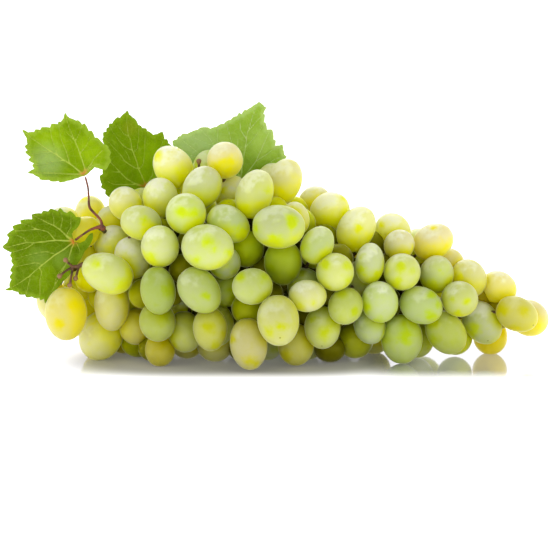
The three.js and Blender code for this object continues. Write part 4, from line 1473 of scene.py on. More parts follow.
    def from_scar(self, places: Array, berry: Berry) -> Array:
        """How far and which way skin is from its scar, or from its far end where that has a speck.

        Args:
            places: Places on the skin in millimetres, before the shift.
            berry: The berry.

        Returns:
            One row of three for each place, longer where the scar is smaller.
        """
        scar = berry.place + berry.axis * berry.half * self.scar_out
        size = 1.8 if self.draw.next() < self.scar_share else 9.0
        if berry.row in SCARS:
            near = ELEVATION.off(places, *SCARS[berry.row]) + (places[:, 1] > berry.place[1]) * FAR_OFF
            scar, size = places[int(near.argmin())], 1.0
        return (places - scar) * size

    def mark(self, piece: Piece, berry: Berry, others: Sequence[Berry], inside: bool) -> None:
        """Writes on a berry what its skin needs to know.

        Args:
            piece: The berry's piece.
            berry: The berry.
            others: All the berries.
            inside: Whether it is one of those further in.
        """
        places = Bench.measured(piece.data)
        ends = float(smooth(*self.ripe_end, np.array(abs(berry.place[0]))))
        often = self.draw.next() < (0.1 + 0.5 * ends) * (0.3 if inside else 1.0) + (inside and ends > 0.7)
        pairs = (self.amber if often else self.green, self.cool, self.bare)
        drawn = (*(self.draw.between(*pair) for pair in pairs), 0.0)
        ripe, cool, bare, lift = np.array(LOOKS[berry.row]) / 100 if berry.row >= 0 else drawn
        # Painted shade: berries inside towards the front are painted darkest.
        deep = inside and berry.place[1] < self.hidden_to
        out = places - berry.place
        Bench.note(
            piece.data,
            ripe=ripe,
            cool=cool,
            bare=2.0 if deep else bare,
            lift=lift,
            touch=1.0 if deep else self.touches(places, berry, others),
            high=self.height_share(places, *(self.lit_inside if inside else self.lit_from)),
            sky=smooth(0.3, 1.0, out @ np.array(self.sky) / np.linalg.norm(out, axis=1)),
            rubbed=0.0 if inside else self.rubs(places, berry),
            from_scar=self.from_scar(places, berry),
        )

    def build(self, outer: Sequence[Berry], inner: Sequence[Berry], skin: Finish) -> None:
        """Builds the berries' pieces.

        Args:
            outer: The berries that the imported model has.
            inner: Those further in.
            skin: The berries' material.
        """
        fine, coarse = self.master(*self.facets), self.master(*self.facets_inside)
        shares: dict[Share, list[Piece]] = {share: [] for share in Share}
        for inside, berries in ((False, outer), (True, inner)):
            for berry in berries:
                piece = self.placed(coarse if inside else fine, berry)
                self.mark(piece, berry, outer, inside)
                shares[Share.of(berry, inside)].append(piece)
        for share, copies in shares.items():
            Bench.dress(Bench.join(share.value, copies), skin, "bunch", "berry")
        Bench.drop(fine, coarse)


@dataclass
class Stems:
    """The rachis with its branches inside the bunch, the shoot with two leaf stalks, and the bare twig."""

    grain: float = 0.17
    lumps: float = 0.1
    rachis_grain: float = 0.3
    rachis_lumps: float = 0.15
    knob: float = 1.35
    twig_knob: float = 0.92
    knob_fade: Pair = (2.2, 0.9)
    nodes_along: range = range(-104, 118, 13)
    node_share: float = 0.5
    node_depth: float = 0.9
    node_turn: float = 0.4
    forks: int = 5
    hidden: float = 6.0
    branch: float = 1.0
    pedicel: float = 0.75
    held_in: float = 0.8
    bare_row: int = 1

    @staticmethod
    def stalk(name: str, rows: Rows, steps: int) -> Piece:
        """A stalk through rows of across, up, depth and radius, seen on the elevation."""
        return Bench.tube(name, ELEVATION.route(rows, steps))

    @staticmethod
    def end(row: Row, radius: float) -> Piece:
        """A small ball at the end of a stalk, as a start for its knob.

        Args:
            row: Across, up and depth of the end.
            radius: The ball's radius in millimetres.

        Returns:
            The ball.
        """
        Bench.clear()
        middle = (ELEVATION.place(*row[:3]) + SHIFT) * MM
        bpy.ops.mesh.primitive_uv_sphere_add(segments=20, ring_count=14, radius=radius * MM, location=middle)
        return Bench.named("knob")

    def finish(self, piece: Piece, bark: Finish, node: str, knobs: Rows = ()) -> None:
        """Dresses a stem.

        Args:
            piece: The stem.
            bark: Its material.
            node: The node it replaces.
            knobs: Rows of across, up and depth of its paler ends.
        """
        places = Bench.measured(piece.data)
        pale = np.zeros(len(places))
        for row in knobs:
            distance = np.linalg.norm(places - ELEVATION.place(*row[:3]), axis=1)
            pale = np.maximum(pale, smooth(*self.knob_fade, distance))
        Bench.note(piece.data, knob=pale)
        Bench.dress(piece, bark, node, "stem")

    def skinned(self, node: str, parts: Sequence[Piece], bark: Finish, knobs: Rows = ()) -> None:
        """Grows stalks together into the stem that replaces a node, and dresses it."""
        self.finish(Bench.grown(f"{node}_skin", parts, self.grain, self.lumps), bark, node, knobs)

    @staticmethod
    def branch_shape() -> Piece:
        """Models one branch of unit size, from its root up to the flared end that holds a berry.

        Returns:
            The branch.
        """
        Bench.clear()
        bpy.ops.mesh.primitive_cylinder_add(vertices=7, radius=1.0, depth=0.8, location=(0.0, 0.0, 0.4))
        bpy.ops.object.transform_apply()
        branch = Bench.named("branch_shape")
        Bench.select(branch, low=0.75)
        for height, flare in ((0.12, 1.25), (0.08, 1.5)):
            bpy.ops.mesh.extrude_region_move(TRANSFORM_OT_translate={"value": (0.0, 0.0, height)})
            Bench.widen((flare, flare, 1.0))
        Bench.select(branch, high=0.05)
        Bench.widen((1.3, 1.3, 1.0))
        Bench.take(branch)
        bpy.ops.object.shade_smooth()
        return branch

    @staticmethod
    def branch_from(shape: Piece, start: Array, end: Array, radius: float) -> Piece:
        """A branch between two places.

        Args:
            shape: The branch shape.
            start: Its root in millimetres, before the shift.
            end: Its end.
            radius: Its radius.

        Returns:
            The branch.
        """
        copy = Bench.copy(shape)
        way = end - start
        sized = Bench.places(copy.data) * np.array([radius, radius, float(np.linalg.norm(way))])
        Bench.set_out(copy.data, sized @ turn_to(way).T + start)
        return copy

    def nodes(self) -> Array:
        """The places inside the bunch at which its branches fork."""
        places = []
        for i, x in enumerate(self.nodes_along):
            middle, depth = profile(HEIGHTS, x) / 2, profile(DEPTHS, x)
            for k in range(self.forks):
                angle = math.tau * (k + self.node_turn * i) / self.forks
                high = (middle - 10) * self.node_share * math.sin(angle)
                out = depth * self.node_share * self.node_depth * math.cos(angle)
                places.append([x, out, middle + high])
        return np.array(places)

    def build_inside(self, growth: Growth, outer: Sequence[Berry], green: Finish) -> None:
        """Builds the rachis, its branches and the berries' own stalks.

        Args:
            growth: How the bunch has grown.
            outer: The berries that are held.
            green: The material of the green stems.
        """
        shape, nodes = self.branch_shape(), self.nodes()
        used: set[int] = set()
        twigs = []
        for berry in outer:
            if berry.row == self.bare_row:
                continue
            k = int(((nodes - berry.place + berry.axis * berry.half) ** 2).sum(axis=1).argmin())
            used.add(k)
            way = nodes[k] - berry.place
            way[1] = max(way[1], self.hidden) if berry.place[1] < 0 else way[1]
            pole = berry.place + unit(way) * (berry.radius - self.held_in)
            twigs.append(self.branch_from(shape, nodes[k], pole, self.pedicel))
        for k in sorted(used):
            twigs.append(self.branch_from(shape, growth.rachis_near(nodes[k]), nodes[k], self.branch))
        Bench.drop(shape)
        self.finish(Bench.join("branches_inside", twigs), green, "bunch")
        tubes = [Bench.tube(f"rachis_{i}", along_line(rows, 30)) for i, rows in enumerate((PEDUNCLE, RACHIS))]
        tubes += [self.stalk("bare_pedicel", BARE_PEDICEL, 24), self.end(BARE_PEDICEL[0], self.knob)]
        rachis = Bench.grown("rachis", tubes, self.rachis_grain, self.rachis_lumps)
        self.finish(rachis, green, "bunch", BARE_PEDICEL[:1])

    def build_outside(self, bark: Finish, twig_bark: Finish) -> None:
        """Builds the shoot's joint and leaf stalks, the bare twig and the two stalks behind.

        Args:
            bark: The material of the shoot and the leaf stalks.
            twig_bark: The material of the bare twig.
        """
        shoot = [self.stalk("upper", STALK_UPPER, 40), self.stalk("lower", STALK_LOWER, 24)]
        self.skinned("vine_shoot", [*shoot, self.end(JOINT, JOINT[3])], bark)
        twig = [self.stalk("twig", TWIG, 12)]
        for i, rows in enumerate(TWIG_ENDS):
            twig += [self.stalk(f"twig_{i}", rows, 14), self.end(rows[2], self.knob * self.twig_knob)]
        self.skinned("bare_twig", twig, twig_bark, [rows[2] for rows in TWIG_ENDS])
        for node, rows in BACK_STALKS.items():
            self.skinned(node, [self.stalk(node, rows, 16)], bark)


@dataclass
class Leaf:
    """A vine leaf: its edge and veins on the elevation, and how its blade stands and curves in depth.

    The edge is the across and up of its points in turn, and each vein is its width and then the same. Each of
    the bright and patched spots is across, up and size.
    """

    name: str
    slot: str
    middle: Pair
    base: Pair
    depth: float
    across: float
    up: float
    cup: float
    reach: float
    ripple: float
    edge: Row
    veins: Rows
    bright_at: Rows
    patch_at: Rows
    spacing: float = 0.62
    vein: float = 0.62
    taper: float = 0.7
    main_from: float = 0.6
    fine_off: float = 1.2
    thick: float = 0.42
    bulge: float = 0.5
    bulge_off_vein: float = 4.0
    bulge_off_rim: float = 3.0
    crease: float = 0.18
    crease_width: float = 0.5
    wrinkle: float = 0.22
    wrinkle_off_rim: float = 2.0
    curl: float = 0.5
    curl_width: float = 3.5
    bow: float = 0.045
    rim_width: float = 6.0
    spot_fade: Pair = (1.5, 0.3)
    sharp: float = 50.0

    @staticmethod
    def points(flat: Row) -> Array:
        """Rows of across and up."""
        return np.array(flat, float).reshape(-1, 2)

    def depth_at(self, across: Array, up: Array) -> Array:
        """Depth of the blade at places on the elevation.

        Args:
            across: Places along the elevation.
            up: Heights on the elevation.

        Returns:
            The depths.
        """
        dx, dz = across - self.middle[0], up - self.middle[1]
        share = (dx * dx + dz * dz) / (self.reach * self.reach)
        waves = self.ripple * np.sin(5 * np.arctan2(dz, dx)) * share
        return self.depth + self.across * dx + self.up * dz + self.cup * share + waves

    def rounded_edge(self) -> Array:
        """The edge with each side of a tooth bowed out a little, as rows of across and up."""
        points = self.points(self.edge)
        ahead = np.roll(points, -1, axis=0)
        area = float((points[:, 0] * ahead[:, 1] - ahead[:, 0] * points[:, 1]).sum())
        side = 1.0 if area > 0 else -1.0
        out = []
        for here, there in zip(points, ahead):
            way = there - here
            normal = side * np.array([way[1], -way[0]])
            out.append(here)
            for share in (0.3, 0.7):
                out.append(here + share * way + self.bow * normal)
        return np.array(out)

    def cut_blade(self, outline: Array) -> Piece:
        """Models the flat blade on the elevation: its outline, cut into a fine grid.

        Args:
            outline: Rows of across and up.

        Returns:
            The blade, with its across and up as x and z.
        """
        Bench.clear()
        bpy.ops.mesh.primitive_circle_add(vertices=len(outline), radius=1.0, fill_type="NGON")
        blade = Bench.named(self.name + "_blade")
        Bench.put(blade.data, np.insert(outline, 1, 0.0, axis=1))
        Bench.select(blade)
        bpy.ops.mesh.quads_convert_to_tris(ngon_method="BEAUTY")
        for axis, normal in ((0, (1.0, 0.0, 0.0)), (1, (0.0, 0.0, 1.0))):
            for spot in np.arange(outline[:, axis].min() + 0.37, outline[:, axis].max(), self.spacing):
                bpy.ops.mesh.select_all(action="SELECT")
                bpy.ops.mesh.bisect(plane_co=tuple(spot * value for value in normal), plane_no=normal)
        bpy.ops.mesh.select_all(action="SELECT")
        bpy.ops.object.mode_set(mode="OBJECT")
        return blade

    def ribs(self, across: Array, up: Array) -> tuple[Array, Array]:
        """How near places are to the veins.

        Args:
            across: Places along the elevation.
            up: Heights on the elevation.

        Returns:
            The distance to the nearest vein's side, and to the nearest main vein's middle, in millimetres.
        """
        side = main = np.full(across.shape, FAR_OFF)
        for width, *flat in self.veins:
            points = self.points(flat)
            lengths = np.concatenate([[0.0], np.cumsum(np.hypot(*np.diff(points, axis=0).T))])
            for i, (start, end) in enumerate(zip(points, points[1:])):
                distance, share = off_line(across, up, start, end)
                done = (lengths[i] + share * (lengths[i + 1] - lengths[i])) / lengths[-1]
                side = np.minimum(side, distance - self.vein * width * (1 - self.taper * done) / 2)
                main = np.minimum(main, distance + (0.0 if width > self.main_from else self.fine_off))
        return side, main

    def build(self, paint: Finish) -> None:
        """Builds the leaf.

        Args:
            paint: The blade's material.
        """
        outline = self.rounded_edge()
        leaf = self.cut_blade(outline)
        flat = Bench.places(leaf.data)
        across, up = flat[:, 0], flat[:, 2]
        side, main = self.ribs(across, up)
        rim = np.full(across.shape, FAR_OFF)
        for start, end in zip(outline, np.roll(outline, -1, axis=0)):
            rim = np.minimum(rim, off_line(across, up, start, end)[0])
        puff = self.bulge * smooth(0.0, self.bulge_off_vein, main) * smooth(0.0, self.bulge_off_rim, rim)
        crease = self.crease * smooth(self.crease_width, 0.0, side)
        folds = np.sin(across * 0.9 + 1.7 * np.sin(up * 0.45)) * np.sin(up * 0.8 + 1.3 * np.sin(across * 0.4))
        wrinkle = self.wrinkle * folds * smooth(0.0, self.wrinkle_off_rim, rim)
        curl = self.curl * smooth(self.curl_width, 0.0, rim) * np.sin(across * 0.55 + up * 0.4)
        depth = self.depth_at(across, up) - puff + crease + wrinkle + curl
        places = np.array([ELEVATION.place(x, z, y) for x, z, y in zip(across, up, depth)])
        base = ELEVATION.place(*self.base, float(self.depth_at(*np.array(self.base))))
        marks = {"rib_side": side, "rim": smooth(self.rim_width, 0.0, rim), "middle_depth": places[:, 1]}
        marks["from_base"] = places - base
        wide, narrow = self.spot_fade
        for name, spots in (("bright", self.bright_at), ("patch", self.patch_at)):
            marks[name] = np.zeros(len(across))
            for x, z, size in spots:
                near = smooth(size * wide, size * narrow, np.hypot(across - x, up - z))
                marks[name] = np.maximum(marks[name], near)
        Bench.note(leaf.data, **marks)
        Bench.set_out(leaf.data, places)
        Bench.modify(leaf, "SOLIDIFY", thickness=self.thick * MM, offset=0.0, use_even_offset=False)
        self.sides(leaf)
        Bench.take(leaf)
        bpy.ops.object.shade_smooth_by_angle(angle=math.radians(self.sharp))
        Bench.dress(leaf, paint, self.name, self.slot)

    @staticmethod
    def sides(leaf: Piece) -> None:
        """Writes on a blade which of its two faces a corner is on, and turns its faces outwards.

        Args:
            leaf: The blade, already thick.
        """
        Bench.select(leaf)
        bpy.ops.mesh.normals_make_consistent(inside=False)
        bpy.ops.object.mode_set(mode="OBJECT")
        middle = np.empty(len(leaf.data.vertices), np.float32)
        leaf.data.attributes["middle_depth"].data.foreach_get("value", middle)
        Bench.note(leaf.data, back=Bench.measured(leaf.data)[:, 1] > middle)


# Edges of the leaves, across and up of each point in turn, and veins, each a width and then the same.
UPPER_LEFT_EDGE = (
    -94.9, 91.2, -97, 90.7, -99.9, 89.7, -103.6, 88.6, -107.8, 87.8, -108.3, 88.5, -112.4, 88.4, -112.9, 89,
    -117.5, 89.2, -117.9, 90.3, -121.2, 92.1, -123.7, 92.6, -120.3, 94.7, -121.4, 96.3, -120.6, 97.3, -123.4,
    99, -122.1, 100.4, -125, 103, -123.7, 103.9, -125.2, 105.8, -123.8, 107, -124.2, 110, -126.4, 114.3,
    -123.6, 112.8, -120.4, 113, -119.9, 114.3, -117.3, 114.1, -116.8, 115.4, -112.4, 115.2, -111.8, 117.1,
    -108.5, 116.9, -108.3, 118.2, -107.1, 118, -105.7, 119.8, -105, 122.6, -104, 121, -102.7, 120, -99.4,
    118.7, -98.4, 118.9, -96.4, 116.7, -95.1, 117.3, -93.1, 113.4, -91.7, 113.8, -90, 110.1, -88.9, 110.3,
    -86.9, 108.2, -85.8, 107, -83.6, 105.9, -83.4, 104.6, -82.1, 103, -82.9, 100.7, -81.9, 98.5, -83, 97,
    -84.7, 94.1, -88.5, 94.9, -90.2, 95.4, -92.2, 93.6,
)
UPPER_LEFT_VEINS: Rows = (
    (1, -95.5, 92, -97.3, 92.9, -101.4, 96.3, -109.8, 102, -115.3, 105.5, -121.2, 109.6, -126.4, 114.3),
    (0.9, -95.5, 92, -95.1, 94.9, -96.6, 99.6, -98.4, 104.8, -100.6, 109.9, -102.8, 115, -105, 122),
    (0.8, -95.5, 92, -94.4, 94.1, -91.8, 97.1, -90.4, 99.6, -86, 104),
    (0.8, -95.5, 92, -103, 92, -112, 92.5, -121, 92.6),
    (0.6, -95.5, 92, -93.3, 93.8, -91.1, 96.3, -86.7, 97.1),
    (0.55, -102.6, 97.3, -103.6, 100.7, -104.3, 103.3, -106.9, 109.2, -108.2, 116),
    (0.5, -108.6, 101.2, -109.5, 104, -111.6, 109.9, -112.3, 114),
    (0.5, -105, 98.7, -110, 98.4, -115, 97.2, -120, 96.8),
    (0.45, -111.6, 103.2, -116, 103, -122, 101.8),
    (0.45, -97.4, 102.1, -94.4, 106, -92.6, 110.6),
    (0.45, -99.9, 108.2, -97.6, 112.6, -96.7, 116),
    (0.45, -99.9, 108.2, -102.4, 111, -104.8, 113.4),
)
LOWER_LEFT_EDGE = (
    -100.4, 58, -101.2, 60.3, -101.6, 62.1, -100.8, 63.6, -99, 65, -97.7, 66.9, -97.2, 70.2, -99.4, 70.5,
    -102.3, 73.5, -104, 72.4, -105.6, 73.1, -107.4, 75, -108.7, 73.3, -112.2, 74.7, -113.5, 73.3, -115.9,
    73.6, -116.6, 72.4, -121.7, 71.8, -121.4, 69.4, -127.3, 68.9, -126.9, 67.2, -131.2, 66, -130.6, 64.3,
    -134.1, 61.6, -132.9, 60.1, -133.9, 57.7, -136.4, 55.5, -134.4, 54, -131.8, 52.8, -132.4, 51.1, -131.5,
    50, -131.8, 48.5, -130.7, 46.7, -132.4, 43.8, -131.3, 42.7, -132.8, 40.5, -131.8, 39.2, -132.7, 37.5,
    -132.6, 35.2, -135, 34.1, -131.3, 33.9, -128.3, 33, -128, 31.8, -125, 31.7, -124.3, 30.3, -121.4, 30.7,
    -119.9, 29.8, -117.7, 30.2, -117.3, 28.9, -115.5, 29.7, -114.8, 27.3, -113.7, 29.5, -111.6, 32.2, -108.2,
    35.6, -106.3, 38.3, -103.4, 40.7, -100.8, 44.9, -98.3, 47.8, -95.3, 53.3, -92.6, 56.6, -91.2, 59.6, -91.2,
    62.6, -92.6, 62, -95, 58.6, -97.4, 57.4,
)
LOWER_LEFT_VEINS: Rows = (
    (1.1, -100.4, 58.5, -103.4, 58.6, -109.6, 58.9, -114.8, 58.3, -119.9, 57.7, -124.3, 57.8, -129.1, 56.6,
     -132.8, 55.5, -136, 55.5),
    (1, -100.4, 58.5, -101.4, 57.5, -106, 54, -110.4, 51.3, -116.2, 46.7, -119.9, 43.6, -122.8, 41, -127.2,
     37.9, -132, 35),
    (0.9, -100.4, 58.5, -103.8, 60.3, -105.6, 62.5, -108.2, 64.7, -110.4, 66.1, -113.7, 67.6, -117.5, 69.6,
     -121.5, 71.6),
    (0.8, -100.4, 58.5, -104.3, 61.4, -102.1, 65.4, -102.1, 71.7),
    (0.8, -100.4, 58.5, -100.5, 57.3, -101.6, 54.8, -103, 50, -108, 40, -113, 31),
    (0.65, -100.4, 58.5, -99, 57, -97.7, 54.1, -97.9, 51.5),
    (0.55, -110, 59, -112.2, 61.8, -113.7, 63.2, -118.4, 64.3, -124, 66.5, -128, 68),
    (0.5, -118.4, 64.3, -124.7, 63.8, -130, 63.6),
    (0.5, -124.3, 57.8, -125.4, 59.9, -129.1, 61.4, -132.6, 61.6),
    (0.55, -110.4, 52.2, -114.8, 53.3, -121, 52.2, -128.3, 50, -131.6, 49.4),
    (0.5, -117, 47.1, -119.6, 47.8, -125, 46.7, -131.4, 45.2),
    (0.5, -117.7, 45.2, -116.6, 43, -117.5, 39, -117.4, 31),
    (0.5, -122.8, 41, -122.5, 39, -123, 37.5, -124.4, 31.6),
    (0.5, -110.4, 66.2, -110.4, 69.4, -111.5, 72.8),
    (0.5, -107.3, 64.3, -106.3, 69.4, -107.1, 73.1),
    (0.45, -119.9, 57.7, -124, 55, -131.4, 52.8),
    (0.45, -105.6, 45.6, -109.4, 41, -110.4, 34.6),
    (0.45, -103, 50, -101.6, 47, -101.4, 45.6),
)
UPPER_MIDDLE_EDGE = (
    -73.9, 123.8, -74.9, 122.6, -76.5, 121.4, -77.5, 120, -78.9, 120.4, -80.9, 118.2, -81.3, 117.2, -82.9,
    117.2, -83.1, 115.4, -84.3, 114.8, -84.3, 113.2, -85.9, 112.8, -85.7, 110.6, -86.3, 109.4, -84.8, 106,
    -85.6, 102, -84.6, 98.6, -86, 95.4, -86.1, 92, -87.7, 91, -87.3, 88.6, -86.5, 86.6, -87.1, 85.4, -84.7,
    84, -84.9, 82.2, -82.6, 80.2, -80, 80.6, -76, 82, -72, 82.6, -68.5, 83, -65.6, 84.6, -62.6, 84.4, -59,
    85.4, -56.5, 88, -55, 92, -53, 96, -52.4, 100.4, -53, 104, -51.7, 106, -53.4, 107.4, -53.9, 109.4, -55.3,
    109.4, -56.3, 113.2, -58.9, 112, -60.9, 111.6, -62.3, 112.8, -63.9, 113.6, -64.5, 114.8, -66.3, 115,
    -67.3, 116.2, -68.5, 116.6, -68.9, 117.8, -69.7, 119.2, -71.3, 120.4, -72.9, 121.8,
)
UPPER_MIDDLE_VEINS: Rows = (
    (1, -65.3, 85.8, -65.1, 87.8, -66.5, 91, -68.3, 94.8, -69, 97.8, -70.3, 101.4, -71.3, 103.8, -71.9, 106.6,
     -72.3, 109.4, -73.3, 111, -74.1, 117.8, -73.9, 123),
    (0.8, -65.3, 85.8, -70.1, 87.4, -74.1, 89.6, -77.3, 92.8, -80.5, 96.2, -82.9, 98.6, -84.8, 101.6),
    (0.65, -68.3, 94.8, -70.1, 95.2, -72.5, 96.6, -75.3, 98.6, -76.5, 100.6, -78.5, 103, -80.9, 105.4, -83.1,
     108, -85.2, 110),
    (0.6, -71.3, 104, -72.9, 104.4, -75.3, 105.8, -76.9, 107.4, -79.1, 110.2, -81.3, 113.4, -82.6, 116),
    (0.5, -73.3, 111, -75.3, 111.8, -77.7, 115, -78.9, 117, -79.2, 119.4),
    (0.6, -67.5, 94.8, -65.9, 97, -65.3, 101, -65.1, 107.4, -64.6, 113.6),
    (0.5, -70.7, 102.8, -68.9, 104.6, -68.3, 108.6, -68.2, 115.6),
    (0.7, -65.3, 85.8, -61.2, 91.4, -61, 94.2, -58, 102, -56, 109),
    (0.6, -65.3, 85.8, -59.5, 91, -55, 95.6, -53.4, 99.4),
    (0.65, -65.3, 85.8, -72.1, 87, -76.5, 86.6, -80.9, 87, -83.7, 88.4, -86.6, 88.2),
    (0.45, -72.6, 99.2, -73.4, 101.4, -75.2, 104.2),
    (0.45, -77.3, 92.8, -80.4, 93.2, -84.6, 93.4),
    (0.45, -61, 96, -58.6, 98.8, -55.6, 103.6, -54, 107.2),
)
UPPER_RIGHT_EDGE = (
    -8, 128.1, -9.1, 127.2, -11.8, 125.4, -14.3, 123.8, -15, 124.2, -16.7, 121.8, -17.9, 122.7, -19, 120.9,
    -20.8, 120.5, -22.1, 119.1, -23.9, 118.7, -25.5, 117.1, -27.3, 116.9, -29.1, 115.7, -32.5, 114.6, -33.4,
    115.3, -37, 115.3, -38.6, 114.2, -41.5, 113.3, -43.7, 112.1, -46.4, 112.1, -47.1, 111, -48.5, 110.6,
    -48.9, 109.4, -51.2, 108.5, -50.4, 105, -48, 101, -44, 98, -41, 94.6, -36, 93, -31, 90.4, -25, 88.6,
    -20.4, 87, -17.6, 88.4, -14, 86.6, -9, 88, -5, 91.6, 0, 93.6, 3.4, 97, 5.9, 100.7, 4.6, 101.6, 4, 104.3,
    3.7, 106.7, 2.2, 106.3, 0, 106.1, 0.3, 108.8, -0.8, 109.2, -1.4, 114.2, -4.1, 114.2, -4.6, 117.3, -5.6,
    118, -5.3, 120, -5.1, 121.8, -5.9, 122, -5.3, 123.6, -4.2, 125.5, -5, 125.4,
)
UPPER_RIGHT_VEINS: Rows = (
    (0.9, -17.5, 88, -15.8, 99.8, -14.9, 105.2, -14.3, 108.8, -13.8, 112.4, -12.7, 116, -9.6, 125.6),
    (0.8, -17.5, 88, -21.9, 108.3, -23.9, 116.4, -24.4, 118.4),
    (0.8, -17.5, 88, -9.5, 98.4, -7.3, 103.4, -3.6, 111.6, -2, 114),
    (0.9, -17.5, 88, -25, 98.5, -32.5, 109.7, -35.6, 112.4, -37.6, 115),
    (0.8, -17.5, 88, -28, 95, -38, 102.4, -46, 108.6, -48.8, 110.4),
    (0.7, -17.5, 88, -8, 93.4, 0, 99.6, 5.4, 100.8),
    (0.5, -14.9, 105.2, -10.8, 109.6, -5.6, 116.8),
    (0.5, -14.3, 109.4, -17.2, 114, -17.8, 121),
    (0.5, -13.4, 113.4, -9, 118.6, -5.6, 122),
    (0.5, -20.6, 102.4, -18.6, 107, -18.2, 111.6),
    (0.5, -28.4, 103.8, -28.8, 109.4, -28.4, 116),
    (0.5, -30, 106, -35.4, 107.6, -42.8, 111.6),
    (0.45, -34, 99.4, -40, 100.6, -48, 103.6),
    (0.45, -9.5, 98.4, -4.6, 101.6, 1.6, 106),
)

LEAVES: tuple[tuple[Leaf, LeafBlade], ...] = (
    (
        Leaf(
            name="leaf_upper_left", slot="leaf_light", middle=(-104, 104), base=(-95.5, 92), depth=-9,
            across=-0.05, up=0.16, cup=-2.5, reach=22, ripple=0.9,
            edge=UPPER_LEFT_EDGE, veins=UPPER_LEFT_VEINS, bright_at=((-112, 108, 10), (-92, 104, 8)),
            patch_at=((-114, 99, 8),),
        ),
        LeafBlade(
            green=srgb(114, 146, 0), bright=srgb(144, 176, 8), edge=srgb(160, 188, 60),
            vein=srgb(188, 204, 90), base=srgb(196, 120, 60), patch=srgb(176, 196, 140), patch_share=0.35,
        ),
    ),
    (
        Leaf(
            name="leaf_lower_left", slot="leaf_dark", middle=(-114, 54), base=(-100.4, 58.5), depth=-17,
            across=-0.1, up=-0.02, cup=3, reach=24, ripple=0.8,
            edge=LOWER_LEFT_EDGE, veins=LOWER_LEFT_VEINS, bright_at=((-112, 38, 9), (-104, 44, 7)),
            patch_at=((-118, 50, 5), (-106, 49, 5)),
        ),
        LeafBlade(
            green=srgb(90, 120, 0), bright=srgb(120, 152, 0), edge=srgb(136, 168, 30),
            vein=srgb(182, 196, 84), base=srgb(206, 96, 30), patch=srgb(146, 176, 84), patch_share=0.25,
        ),
    ),
    (
        Leaf(
            name="leaf_upper_middle", slot="leaf_dark", middle=(-70, 102), base=(-65.3, 85.8), depth=17,
            across=0.02, up=-0.06, cup=2, reach=22, ripple=1,
            edge=UPPER_MIDDLE_EDGE, veins=UPPER_MIDDLE_VEINS, bright_at=((-60, 100, 9), (-62, 90, 7)),
            patch_at=((-72.5, 115, 4),),
        ),
        LeafBlade(
            green=srgb(112, 144, 0), bright=srgb(142, 176, 4), edge=srgb(140, 170, 30),
            vein=srgb(182, 198, 84), base=srgb(190, 120, 40), patch=srgb(164, 156, 40), patch_share=0.25,
        ),
    ),
    (
        Leaf(
            name="leaf_upper_right", slot="leaf_pale", middle=(-22, 106), base=(-17.5, 88), depth=17.5,
            across=-0.05, up=-0.04, cup=2, reach=24, ripple=1,
            edge=UPPER_RIGHT_EDGE, veins=UPPER_RIGHT_VEINS, bright_at=((-24, 104, 9), (-6, 108, 8)),
            patch_at=((-40, 106, 12),),
        ),
        LeafBlade(
            green=srgb(146, 178, 56), bright=srgb(168, 196, 88), edge=srgb(190, 212, 130),
            vein=srgb(204, 220, 150), base=srgb(190, 170, 90), patch=srgb(176, 198, 134), patch_share=0.7,
        ),
    ),
)

SHOOT_BARK = StemBark(brown=srgb(128, 62, 30), dark=srgb(70, 28, 12), pale=srgb(176, 110, 66))
TWIG_BARK = StemBark(brown=srgb(112, 74, 40), dark=srgb(58, 32, 14), pale=srgb(158, 120, 82))
GREEN_BARK = StemBark(brown=srgb(92, 70, 28), dark=srgb(44, 28, 10), pale=srgb(160, 120, 78))


@dataclass(frozen=True)
class Lamp:
    """A soft square light: where it hangs and its side in metres, and its power in watts."""

    name: str
    place: Triple
    size: float
    power: float
    aim: Triple = (0.0, 0.0, 0.04)

    def hang(self) -> None:
        """Hangs the light, turned to the bunch."""
        Bench.clear()
        bpy.ops.object.light_add(type="AREA", location=self.place)
        lamp = bpy.context.object
        lamp.name = self.name
        lamp.data.shape = "SQUARE"
        lamp.data.size = self.size
        lamp.data.energy = self.power
        lamp.rotation_euler = (Vector(self.aim) - Vector(self.place)).to_track_quat("-Z", "Y").to_euler()


